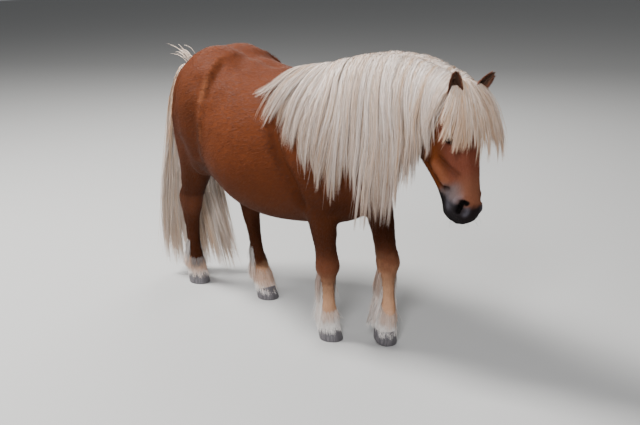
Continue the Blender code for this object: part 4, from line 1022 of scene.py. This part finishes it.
tail = {
    **hairForm, "grid": (8, 15), "off": 0.004, "width": 0.0018, "strands": 12800, "locks": 40, "split": 9,
    "layerWeight": 0.25, "uneven": 0.10, "ragged": 0.30, "gatherFar": 0.74, "sway": 0.016, "bends": 1.0,
    "lean": 0.012, "fringe": 0.0030, "puff": 0.004, "ripple": 0.0014, "waves": 4.0, "floor": 0.006,
    "dock": skinForm["dock"],
    "tips": ((-0.686, -0.088, 0.055), (-0.690, -0.046, 0.016), (-0.674, 0.005, 0.008),
             (-0.632, 0.040, 0.007), (-0.575, 0.080, 0.007), (-0.512, 0.115, 0.008), (-0.455, 0.142, 0.020)),
    # a few wisps stand up over the dock: the root's place, the steps to the bend and the tip, how these vary
    "wisps": 26, "wispPath": ((-0.575, 0.0, 0.905), (-0.022, -0.008, 0.048), (-0.040, -0.012, -0.010)),
    "wispSpread": ((0.012, 0.010, 0.004), (0.010, 0.012, 0.010), (0.014, 0.014, 0.020)),
}


def tailGrid():
    # roots go round the dock from its top to near its end, and the hair fans out from there
    side = np.array((0.0, 1.0, 0.0))

    def controlsAt(down, share):
        at = 0.02 + 0.75 * down
        place = through(tail["dock"], at)
        ahead = unit(through(tail["dock"], at + 0.05)[:3] - through(tail["dock"], at - 0.05)[:3])
        behind = np.cross(ahead, side)
        behind = unit(behind) * (1 if behind[0] < 0.2 else -1)
        a = 2 * share - 1
        turn = math.radians((150 - 40 * down) * a)
        out = behind * math.cos(turn) + side * math.sin(turn)
        root = place[:3] + out * place[3] * 0.8
        tip = through(tail["tips"], share) + np.array((-0.030, 0.022, 0)) * (1 - 2 * down)
        over = root + out * (0.085 - 0.055 * down) + ahead * 0.035 + (0, -0.020 * (1 - down), 0)
        low = mix(tip, root, 0.50) + (-0.066 + 0.050 * down, -0.034 + a * 0.020, 0)
        return root, over, low, tip

    return drape(tail, controlsAt)


def makeTail():
    hair = strands(*tailGrid(), tail, 8)
    colours = toned(hair, {"flax": 5, "pale": 2.5, "gold": 2, "ash": 1.5}, "ash", 0.25)
    draw = np.random.default_rng(9)
    n, t = tail["wisps"], np.linspace(0, 1, tail["stations"])[None, :, None]
    steps = [np.array(step) + draw.normal(size=(n, 3)) * spread
             for step, spread in zip(tail["wispPath"], tail["wispSpread"])]
    root, top, tip = np.cumsum(steps, 0)
    wisps = root[:, None] * (1 - t) ** 2 + top[:, None] * 2 * t * (1 - t) + tip[:, None] * t ** 2
    more = {"lines": wisps, "outs": np.tile((-0.6, -0.4, 0.7), (n, wisps.shape[1], 1)),
            "layer": draw.random(n) * 0.2, "share": draw.random(n)}
    for key, value in more.items():
        hair[key] = np.concatenate([hair[key], value])
    colours = np.concatenate([colours, np.array(hairTones["flax"]) * draw.uniform(0.8, 1.1, (n, 1))])
    addPiece("tail_hair", strandMesh("tail", hair, colours, tail["width"], 0.2),
             hairFinish("tailHair", 0.45, 0.35), "hair", "tail")


makeTail()

feather = {
    **hairForm, "strands": 2300, "stations": 7, "locks": 14, "split": 5, "inward": 0.62, "layerWeight": 0.8,
    "uneven": 0.15, "ragged": 0.30, "gather": 0.65, "gatherFar": 0.35, "sway": 0.003, "bends": 0.8,
    "lean": 0.003, "fringe": 0.0014, "puff": 0.001, "strays": 0.06, "ripple": 0.0006, "waves": 2.0,
    "floor": 0.004, "width": 0.0013, "pale": 0.95,
    # height of the root, length and flare, from the cannon down to the pastern
    "rows": ((0.265, 0.085, 0.014), (0.220, 0.105, 0.028), (0.165, 0.100, 0.036), (0.118, 0.088, 0.040)),
    "grid": (7, 13), "laid": 13, "off": 0.003, "spread": 95, "hind": 0.50, "whiteUpTo": (0.31, 0.18),
}
# The short hair round the pastern, over the hoof
cuff = {
    **feather, "strands": 1900, "stations": 5, "locks": 30, "split": 4, "inward": 1.0, "uneven": 0.12,
    "ragged": 0.35, "gather": 0.40, "gatherFar": 0.0, "sway": 0.0008, "bends": 0.7, "lean": 0.001,
    "fringe": 0.0008, "puff": 0.0008, "strays": 0.04, "ripple": 0.0002, "waves": 1.0, "width": 0.0010,
    "pale": 0.45, "grid": (4, 25), "laid": 9, "off": 0.002,
}


def legControls(leg, height, turn, length, flare):
    middle = legMiddle(leg, height)
    out = np.array((math.cos(turn), math.sin(turn), 0))
    start = np.array((*middle, height)) + out * 0.05
    near, normal, _, _ = hide.find_nearest(Vector(start))
    root = np.array(near - normal * 0.002)
    fall = legMiddle(leg, height - length) - middle
    down = np.array((*fall, -length))
    tip = root + out * (flare + 0.004) + down
    over, low = root + out * (flare * 0.45 + 0.003), root + out * (flare * 0.9 + 0.004)
    return root, over + down * 0.2, low + down * 0.6, tip


def featherGrid(name, leg):
    # layers run upwards here, so that the locks near the heel count as the outer ones
    def controlsAt(down, share):
        height, length, flare = through(feather["rows"], down)
        if "hind" in name:
            height, length = mix(feather["rows"][-1][0], height, feather["hind"]), length * 0.75
        aside = feather["spread"] * (2 * share - 1)
        flare = flare * leg["flare"] * (math.cos(math.radians(aside)) * 0.7 + 0.3)
        return legControls(leg, height, math.radians(180 + leg["turn"] + aside), length, flare)

    return drape(feather, controlsAt)


def cuffGrid(leg):
    def controlsAt(down, share):
        angle = math.radians(leg["turn"] + 360 * share)
        height = 0.118 - 0.062 * down
        if leg["tip"]:
            height += 0.018 - 0.022 * math.cos(angle)
        return legControls(leg, height, angle, 0.046 - 0.008 * down, 0.009)

    return drape(cuff, controlsAt)


def makeFeather():
    rows = []
    t = np.linspace(0, 1, feather["stations"])
    for number, (name, leg) in enumerate(legs.items()):
        bunches = ((feather, strands(*featherGrid(name, leg), feather, 20 + number)),
                   (cuff, strands(*cuffGrid(leg), cuff, 40 + number)))
        for column, (form, hair) in enumerate(bunches):
            draw, lines = hair["draw"], hair["lines"]
            n, k, _ = lines.shape
            at = t * (k - 1)
            low = np.minimum(at.astype(int), k - 2)
            part = (at - low)[:, None]
            pale = np.array(coat["white"]) * draw.uniform(0.8, 1.05, (n, 1))
            whiter = smoothStep(*feather["whiteUpTo"], lines[:, 0, 2]) * form["pale"]
            if "hind" in name:
                whiter = whiter * 0.6
            whiter = whiter[:, None] * draw.uniform(0.6, 1.1, (n, 1))
            rows.append((
                lines[:, low] * (1 - part) + lines[:, low + 1] * part, hair["outs"][:, low],
                form["width"] * draw.uniform(0.7, 1.2, n),
                mix(markings(lines[:, 0]), pale, whiter).clip(0, 0.9),
                np.stack([(number * 2 + column + hair["share"] * 0.96) / 8, hair["layer"]], 1),
            ))
    lines, outs, widths, colours, roots = (np.concatenate(part) for part in zip(*rows))
    roll = np.random.default_rng(2).normal(size=len(lines)) * 0.5
    mesh = hairMesh("feather", lines, outs, widths, roll, colours, roots, 0.05)
    addPiece("feather_hair", mesh, hairFinish("featherHair", 0.5, 0.3), "hair")


makeFeather()

fur = {
    "tufts": 46000, "bodyLength": 0.016, "legLength": 0.011, "faceLength": 0.007, "muzzleLength": 0.003,
    "width": 0.0012, "lift": 0.10, "sway": 0.22, "tones": (0.86, 1.16), "split": -0.06,
}


def lieOf(points):
    # the way the coat lies: back and down on the body, down the legs, down the face
    x, _, z = points.T
    lie = np.tile((-0.88, 0.0, -0.42), (len(points), 1))
    turns = (((-0.30, 0, -0.95), smoothStep(-0.40, -0.52, x)),
             ((-0.62, 0, -0.78), smoothStep(0.30, 0.50, x) * smoothStep(0.5, 0.7, z)),
             ((-0.10, 0, -1.0), smoothStep(0.56, 0.44, z)), (headAxes[0], headShare(points)))
    for way, share in turns:
        lie = mix(lie, np.array(way), share[:, None])
    swirl = np.stack([mottle(points, 0.09, s) for s in (31, 32, 33)], 1) * 0.12
    return unit(lie + swirl)


def unwrapOf(points):
    # islands side by side: the trunk rolled out round its middle line, the head, and each leg
    which = nearestLeg(points) + 2
    which[which < 2] = 0
    which[headShare(points) > 0.5] = 1
    turn = np.arctan2(points[:, 1], points[:, 2] - 0.70) / (2 * math.pi) + 0.5
    flat = np.stack([(points[:, 0] + 0.62) / 1.5, turn], 1)
    place = inHead(points)
    onIt = which == 1
    flat[onIt, 0] = (place[onIt, 0] + 0.08) / 0.53
    flat[onIt, 1] = np.arctan2(place[onIt, 2], place[onIt, 1] + 0.09) / (2 * math.pi) + 0.5
    for i, leg in enumerate(legs.values()):
        mine = which == i + 2
        off = points[mine, :2] - legMiddle(leg, points[mine, 2])
        flat[mine, 0] = points[mine, 2] / 0.42
        flat[mine, 1] = np.arctan2(off[:, 1], off[:, 0]) / (2 * math.pi) + 0.5
    return which, flat.clip(0, 1)


def makeFur():
    finish = hairFinish("furTufts", 0.62, 0.14)
    a, b, c = (skinPlaces[tris[:, i]] for i in range(3))
    face = np.cross(b - a, c - a)
    area = np.linalg.norm(face, axis=1) / 2
    middle = (a + b + c) / 3
    low = smoothStep(0.345, 0.375, inHead(middle)[:, 0])
    dense = 1 + 1.2 * smoothStep(0.5, 0.4, middle[:, 2]) + 2.0 * headShare(middle)
    for side in (-1, 1):
        q, ring = eyeRing(middle, side)
        dense = dense * (1 - 0.8 * headShare(middle) * low)
        dense = np.where((ring < 1.35) & (np.linalg.norm(q, axis=1) < 0.04), 0, dense)
    limb = (nearestLeg(middle) >= 0) | (headShare(middle) > 0.5)
    behind = middle[:, 0] < fur["split"]
    regions = {"rear": ~limb & behind, "front": ~limb & ~behind, "limbs": limb}
    for number, (name, wanted) in enumerate(regions.items()):
        draw = np.random.default_rng(60 + number)
        n = fur["tufts"] // 1
        chance = area * dense * wanted
        pick = draw.choice(len(area), n, p=chance / chance.sum())
        r1, r2 = np.sqrt(draw.random(n))[:, None], draw.random(n)[:, None]
        root = a[pick] * (1 - r1) + b[pick] * r1 * (1 - r2) + c[pick] * r1 * r2
        normal = unit(face[pick])
        lie = lieOf(root)
        lie = unit(lie - normal * (lie * normal).sum(1, keepdims=True))
        lie = unit(lie + np.cross(lie, normal) * draw.normal(size=(n, 1)) * fur["sway"])
        onIt = headShare(root)
        length = mix(fur["bodyLength"], fur["legLength"], smoothStep(0.5, 0.4, root[:, 2]))
        length = mix(length, fur["faceLength"], onIt)
        length = mix(length, fur["muzzleLength"], onIt * smoothStep(0.32, 0.37, inHead(root)[:, 0]))
        length = (length * draw.uniform(0.6, 1.25, n))[:, None]
        reach = lie * length
        lift = normal * length * (fur["lift"] * draw.uniform(0.5, 1.5, n))[:, None]
        strand = np.stack([root - normal * 0.0006, root + reach * 0.5 + lift * 0.75, root + reach + lift], 1)
        width = fur["width"] * mix(1.0, 0.6, onIt) * draw.uniform(0.7, 1.3, n)
        tones = draw.uniform(*fur["tones"], (n, 1))
        which, flat = unwrapOf(root)
        present = sorted(set(which))
        column = np.searchsorted(present, which)
        flat = np.stack([(column + flat[:, 1]) / len(present), flat[:, 0]], 1)
        outs = np.repeat(normal[:, None], 3, 1)
        roll = draw.normal(size=n) * 0.20
        mesh = hairMesh("fur", strand, outs, width, roll, markings(root) * tones, flat, 0.08)
        addPiece("fur_" + name, mesh, finish, "coat")


makeFur()

ear = {
    "length": 0.088, "width": 0.023, "shell": 0.0028, "root": 0.022, "rows": 26, "columns": 24,
    # the near ear's inside is painted much darker than the far one's: painted shade in its cup
    "right": {"base": (0.822, -0.062, 0.962), "tip": (0.850, -0.088, 1.042), "facing": (0.86, -0.50, -0.10),
              "inside": (0.045, 0.020, 0.013)},
    "left": {"base": (0.828, 0.034, 0.962), "tip": (0.862, 0.096, 1.022), "facing": (0.97, -0.20, -0.10),
             "inside": (0.170, 0.055, 0.022)},
    "outside": (0.135, 0.038, 0.014), "edge": (0.090, 0.026, 0.012),
    # hairs: how many of each kind, then tint, slant off the skin, length, and depth of the root in the shell
    "tuftCount": 900, "tuftWidth": 0.0009,
    "tufts": {"inside": ((0.120, 0.062, 0.038), 0.50, 0.014, 0.45),
              "rim": ((0.150, 0.052, 0.025), 0.40, 0.009, 0.20),
              "outside": ((0.130, 0.035, 0.013), 0.12, 0.007, 0.45)},
}


def earPlace(pose, t, j):
    # a point of the cupped ear: t up it, j across it from -1 to 1
    base, tip, facing = (np.array(pose[key]) for key in ("base", "tip", "facing"))
    up = unit(tip - base)
    facing = unit(facing - up * (facing @ up))
    across = np.cross(up, facing)
    wide = ear["width"] * (0.60 + 1.0 * t - 0.55 * t ** 2) * (1 - t ** 2.4) ** 0.80 + 0.0012
    half = np.radians(150 - 75 * np.minimum(t * 1.6, 1))
    centre = base + up * ((ear["length"] + ear["root"]) * (t - ear["root"] / ear["length"]))[..., None]
    centre = centre + facing * (0.010 * np.sin(math.pi * t))[..., None]
    angle = half * j
    centre = centre - facing * (wide * 0.75 * np.cos(angle))[..., None]
    return centre + across * (wide * np.sin(angle))[..., None]


def earFinish():
    finish, shader, add, link = newFinish("earSkin", 0.65, 0.25)
    tint = add("Attribute", attribute_name="Coat").outputs["Color"]
    noise = stretchedNoise(add, link, (300, 300, 60))
    link(varied(add, link, tint, noise, 0.75, 1.2), shader["Base Color"])
    bumped(add, link, shader, noise, 0.35, 0.001)
    return finish


def earShell(pose):
    sheet = bmesh.new()
    bmesh.ops.create_grid(sheet, x_segments=ear["columns"], y_segments=ear["rows"], size=1)
    flat = np.array([v.co for v in sheet.verts])
    movePoints(sheet, earPlace(pose, (flat[:, 1] + 1) / 2 * 0.995, flat[:, 0]))
    mesh = evaluated(meshFrom(sheet), ("SOLIDIFY", {"thickness": ear["shell"], "offset": 0.0}))
    shell = bmesh.new()
    shell.from_mesh(mesh)
    bmesh.ops.recalc_face_normals(shell, faces=shell.faces)
    mesh = meshFrom(shell)
    co, normals = placesOf(mesh), normalsOf(mesh)
    middle = (np.array(pose["base"]) + pose["tip"]) * 0.5 + unit(np.array(pose["facing"])) * 0.004
    inward = smoothStep(-0.2, 0.3, (unit(middle - co) * normals).sum(1))
    # the shell has the points of the sheet twice over
    edge = smoothStep(0.80, 0.98, np.abs(np.tile(flat[:, 0], 2)))
    colours = mix(np.array(ear["outside"]), np.array(pose["inside"]), inward[:, None])
    setColour(mesh, "Coat", mix(colours, np.array(ear["edge"]), edge[:, None] * 0.7))
    mesh.polygons.foreach_set("use_smooth", np.full(len(mesh.polygons), True))
    return mesh


def earTufts(pose, done):
    # hairs in the ear, on its rim and on its back, as rows of lines, outs, colours and places on the unwrap
    draw = np.random.default_rng(70)
    n = ear["tuftCount"]
    up = unit(np.array(pose["tip"]) - np.array(pose["base"]))
    rows = []
    for where, (tint, rise, length, depth) in ear["tufts"].items():
        t = draw.uniform(0.15, 0.93, n)
        if where == "rim":
            j = np.sign(draw.normal(size=n)) * draw.uniform(0.93, 1.0, n)
        else:
            j = draw.uniform(-0.9, 0.9, n)
        root = earPlace(pose, t, j)
        ends = earPlace(pose, t, np.ones(n)) + earPlace(pose, t, -np.ones(n))
        axis = earPlace(pose, t, j * 0) * 0.35 + ends * 0.325
        out = unit(axis - root) if where == "inside" else unit(root - axis)
        reach = length * draw.uniform(0.6, 1.2, n)[:, None]
        lie = unit(up + out * rise + draw.normal(size=(n, 3)) * 0.12) * reach
        start = root + out * ear["shell"] * depth
        hairs = np.stack([start, start + lie * 0.55, start + lie + up * reach * 0.1], 1)
        flat = np.stack([(j + 1) / 2 * 0.16 + (done + len(rows)) / 6, t], 1)
        colours = np.array(tint) * draw.uniform(0.6, 1.25, (n, 1))
        rows.append((hairs, np.repeat(out[:, None], 3, 1), colours, flat))
    return rows


def makeEars():
    finish, rows = earFinish(), []
    for name in ("right", "left"):
        addPiece("ear_skin_" + name, earShell(ear[name]), finish, "coat", "ear_" + name)
        rows += earTufts(ear[name], len(rows))
    hairs, outs, colours, flat = (np.concatenate(part) for part in zip(*rows))
    draw, n = np.random.default_rng(71), len(hairs)
    width = ear["tuftWidth"] * draw.uniform(0.6, 1.2, n)
    mesh = hairMesh("earTufts", hairs, outs, width, draw.normal(size=n) * 0.6, colours, flat, 0.1)
    addPiece("ear_tufts", mesh, hairFinish("earHair", 0.55, 0.3), "coat")


makeEars()


def eyeFinish():
    # a dark brown iris round a long dark pupil, under a clear wet surface
    finish, shader, add, link = newFinish("eyeBall", 0.12, 0.4)
    shader["Coat Weight"].default_value = 0.6
    shader["Coat Roughness"].default_value = 0.02
    centre = add("Mapping", {"Location": (-0.5, -0.5, 0)})
    link(add("UVMap", uv_map="EyeFace").outputs["UV"], centre.inputs["Vector"])
    shape = add("Mapping", {"Scale": (1.9, 1.0, 1.0)})
    link(centre.outputs["Vector"], shape.inputs["Vector"])
    noise = add("TexNoise", {"Scale": 26.0, "Detail": 3.0})
    link(centre.outputs["Vector"], noise.inputs["Vector"])

    def ring(source, low, high):
        size = add("VectorMath", operation="LENGTH")
        span = add("MapRange", {"From Min": low, "From Max": high}, interpolation_type="SMOOTHSTEP")
        link(source.outputs["Vector"], size.inputs[0])
        link(size.outputs["Value"], span.inputs["Value"])
        return span.outputs["Result"]

    def blend(share, **colours):
        both = add("Mix", {side: (*colour, 1) for side, colour in colours.items()}, data_type="RGBA")
        link(share, both.inputs["Factor"])
        return both

    iris = blend(noise.outputs["Fac"], A=(0.010, 0.004, 0.002), B=(0.032, 0.013, 0.006))
    pupil = blend(ring(shape, 0.23, 0.27), A=(0.002, 0.002, 0.003))
    white = blend(ring(centre, 0.40, 0.44), B=(0.022, 0.012, 0.009))
    link(iris.outputs["Result"], pupil.inputs["B"])
    link(pupil.outputs["Result"], white.inputs["A"])
    link(white.outputs["Result"], shader["Base Color"])
    return finish


def makeEyes():
    finish = eyeFinish()
    for name, side in (("right", -1), ("left", 1)):
        axes, middle = eyeFrame(side)
        ball = bmesh.new()
        bmesh.ops.create_uvsphere(ball, u_segments=48, v_segments=32, radius=eye["radius"])
        face = ball.loops.layers.uv.new("EyeFace")
        local = np.array([v.co for v in ball.verts])
        for f in ball.faces:
            f.smooth = True
            for loop in f.loops:
                x, y, z = local[loop.vert.index] / eye["radius"] / 2
                if z > 0:
                    loop[face].uv = (0.5 + x, 0.5 + y)
        # the clear front swells a little
        swell = 1 + 0.05 * smoothStep(0.55, 1.0, local[:, 2] / eye["radius"])
        movePoints(ball, middle + (local * swell[:, None]) @ axes)
        bmesh.ops.recalc_face_normals(ball, faces=ball.faces)
        addPiece("eyeball_" + name, meshFrom(ball), finish, "eye", "eye_" + name)


makeEyes()

faceHairs = {
    "lashes": 70, "lashLength": 0.0085, "lashWidth": 0.0005, "lashSpan": 75, "rim": 1.12,
    "whiskers": 90, "whiskerLength": 0.022, "whiskerWidth": 0.00035, "droop": 0.25,
    "tint": (0.012, 0.008, 0.006),
}


def makeFaceHairs():
    # lashes along the upper lids, whiskers on the lips and the chin
    draw = np.random.default_rng(75)
    bunch, widths = [], []
    droop = np.array((0, 0, faceHairs["droop"]))
    for side in (-1, 1):
        axes, middle = eyeFrame(side)
        n = faceHairs["lashes"]
        upper = headAxes[1] * 0.75 - headAxes[0] * 0.65
        flat = unit((axes @ upper)[:2])
        turn = np.radians(draw.uniform(-1, 1, n) * faceHairs["lashSpan"])
        way = np.stack([flat[0] * np.cos(turn) - flat[1] * np.sin(turn),
                        flat[0] * np.sin(turn) + flat[1] * np.cos(turn)], 1)
        size = faceHairs["rim"] / np.hypot(way[:, 0] / eye["openAcross"], way[:, 1] / eye["openDown"])
        q = way * size[:, None]
        height = np.sqrt((eye["radius"] + eye["lidThick"]) ** 2 - (q ** 2).sum(1))
        root = middle + np.column_stack([q, height - 0.0004]) @ axes
        out = np.column_stack([way * 0.55, np.full(n, 0.8)]) @ axes
        reach = faceHairs["lashLength"] * draw.uniform(0.6, 1.15, n) * (0.55 + 0.45 * np.cos(turn))
        reach = reach[:, None]
        lie = (out + draw.normal(size=(n, 3)) * 0.10) * reach
        bunch.append(np.stack([root, root + lie * 0.55, root + lie - droop * reach], 1))
        widths.append(np.full(n, faceHairs["lashWidth"]))
    middles = skinPlaces[tris].mean(1)
    place = inHead(middles)
    wanted = (place[:, 0] > 0.345) & (place[:, 1] < -0.022) & (headShare(middles) > 0.5)
    pick = draw.choice(np.flatnonzero(wanted), faceHairs["whiskers"], replace=False)
    n = len(pick)
    root, out = middles[pick], skinNormals[tris[pick, 0]]
    reach = (faceHairs["whiskerLength"] * draw.uniform(0.4, 1.2, n))[:, None]
    lie = (out * 0.8 + headAxes[0] * 0.35 + draw.normal(size=(n, 3)) * 0.18) * reach
    bunch.append(np.stack([root - out * 0.0004, root + lie * 0.5, root + lie - droop * reach], 1))
    widths.append(np.full(n, faceHairs["whiskerWidth"]))
    hairs = np.concatenate(bunch)
    n = len(hairs)
    outs = np.tile(unit(headAxes[1] + headAxes[0]), (n, 3, 1))
    colours = np.tile(faceHairs["tint"], (n, 1)) * draw.uniform(0.7, 1.8, (n, 1))
    mesh = hairMesh("faceHairs", hairs, outs, np.concatenate(widths), np.zeros(n), colours,
                    draw.random((n, 2)), 0.0)
    addPiece("face_hairs", mesh, hairFinish("faceHair", 0.5, 0.4), "hair")


makeFaceHairs()


def hornFinish():
    finish, shader, add, link = newFinish("hoofHorn", 0.5, 0.4)
    place = add("UVMap", uv_map="Wall")

    def lines(stretch, detail):
        turn = add("Mapping", {"Scale": stretch})
        noise = add("TexNoise", {"Scale": 1.0, "Detail": detail})
        link(place.outputs["UV"], turn.inputs["Vector"])
        link(turn.outputs["Vector"], noise.inputs["Vector"])
        return noise.outputs["Fac"]

    streaks, rings = lines((55, 1.6, 1), 4.0), lines((1.5, 26, 1), 2.0)
    ramp = add("ValToRGB")
    tones = ((0.30, (0.040, 0.037, 0.043, 1)), (0.72, (0.200, 0.185, 0.195, 1)))
    for stop, (position, colour) in zip(ramp.color_ramp.elements, tones):
        stop.position = position
        stop.color = colour
    link(streaks, ramp.inputs["Fac"])
    link(varied(add, link, ramp.outputs["Color"], rings, 0.8, 1.2), shader["Base Color"])
    bumped(add, link, shader, rings, 0.5, 0.0012)
    return finish


def makeHooves():
    finish = hornFinish()
    for name, leg in legs.items():
        wall = bmesh.new()
        bmesh.ops.create_cone(wall, cap_ends=True, cap_tris=False, segments=64, radius1=1, radius2=1, depth=1)
        uprights = [e for e in wall.edges if abs(e.verts[0].co.z - e.verts[1].co.z) > 0.5]
        bmesh.ops.subdivide_edges(wall, edges=uprights, cuts=13)
        co = np.array([v.co for v in wall.verts])
        share, angle = co[:, 2] + 0.5, np.arctan2(co[:, 1], co[:, 0])
        size = 1 - hoof["taper"] * share - 0.03 * smoothStep(0.10, 0.0, share)
        rings = smoothStep(0.05, 0.2, share) * smoothStep(1.0, 0.85, share)
        size = size + hoof["ringDepth"] * np.sin(share * hoof["rings"] + 0.6) * rings
        x = np.cos(angle) * hoof["length"] / 2 * size
        y = np.sin(angle) * hoof["width"] / 2 * size * (1.04 - 0.06 * np.cos(angle))
        x = np.maximum(x, -hoof["length"] * hoof["heel"] * size) - hoof["lean"] * share
        top = hoof["height"] * (hoof["middle"] + hoof["toeRise"] * x / (hoof["length"] / 2))
        turn = np.array(hoofFrame(leg))
        places = np.stack([x, y, top * share], 1) @ turn[:3, :3].T + turn[:3, 3]
        places[:, 2] = np.maximum(places[:, 2], 0.0)
        uv = wall.loops.layers.uv.new("Wall")
        for f in wall.faces:
            f.smooth = len(f.verts) == 4
            for loop in f.loops:
                i = loop.vert.index
                loop[uv].uv = (abs(angle[i]) / math.pi, share[i])
        movePoints(wall, places)
        bmesh.ops.recalc_face_normals(wall, faces=wall.faces)
        addPiece("hoof_wall_" + name, meshFrom(wall), finish, "horn", "hoof_" + name)


makeHooves()


def makeStage():
    sheet = bmesh.new()
    bmesh.ops.create_grid(sheet, x_segments=1, y_segments=1, size=14)
    floor = bpy.data.objects.new("floor", meshFrom(sheet, "floor"))
    finish, shader, _, _ = newFinish("paleFloor", 0.9, 0.2)
    shader["Base Color"].default_value = (0.46, 0.46, 0.455, 1)
    floor.data.materials.append(finish)
    bpy.context.scene.collection.objects.link(floor)


def addLight(name, place, target, size, power, colour=(1, 1, 1)):
    lamp = bpy.data.lights.new(name, "AREA")
    lamp.size = size
    lamp.energy = power
    lamp.color = colour
    thing = bpy.data.objects.new(name, lamp)
    place, target = Vector(place), Vector(target)
    thing.location = place
    thing.rotation_euler = (target - place).to_track_quat("-Z", "Y").to_euler()
    bpy.context.scene.collection.objects.link(thing)


def makeLightAndCamera():
    addLight("key", (-2.3, -1.5, 4.5), (0.0, 0.0, 0.7), 1.5, 590, (1.0, 0.985, 0.96))
    addLight("fill", (2.2, -2.9, 3.0), (0.5, 0.0, 0.5), 1.0, 150, (0.98, 0.98, 1.0))
    addLight("back", (-2.6, 2.8, 3.6), (0.0, 0.0, 0.7), 2.4, 130, (1.0, 0.99, 0.97))
    world = bpy.data.worlds.new("studio")
    world.use_nodes = True
    sky = world.node_tree.nodes["Background"].inputs
    sky["Color"].default_value = (0.84, 0.86, 0.88, 1)
    sky["Strength"].default_value = 0.21
    bpy.context.scene.world = world
    lens = bpy.data.cameras.new("view")
    lens.sensor_width = camera["sensor"]
    lens.lens = camera["focal"] / camera["imageWidth"] * camera["sensor"]
    thing = bpy.data.objects.new("view", lens)
    thing.location = Vector(camera["place"]) + shift
    thing.rotation_euler = (math.radians(90 - camera["pitch"]), 0, math.radians(camera["turn"]))
    bpy.context.scene.collection.objects.link(thing)
    bpy.context.scene.camera = thing


makeStage()
makeLightAndCamera()
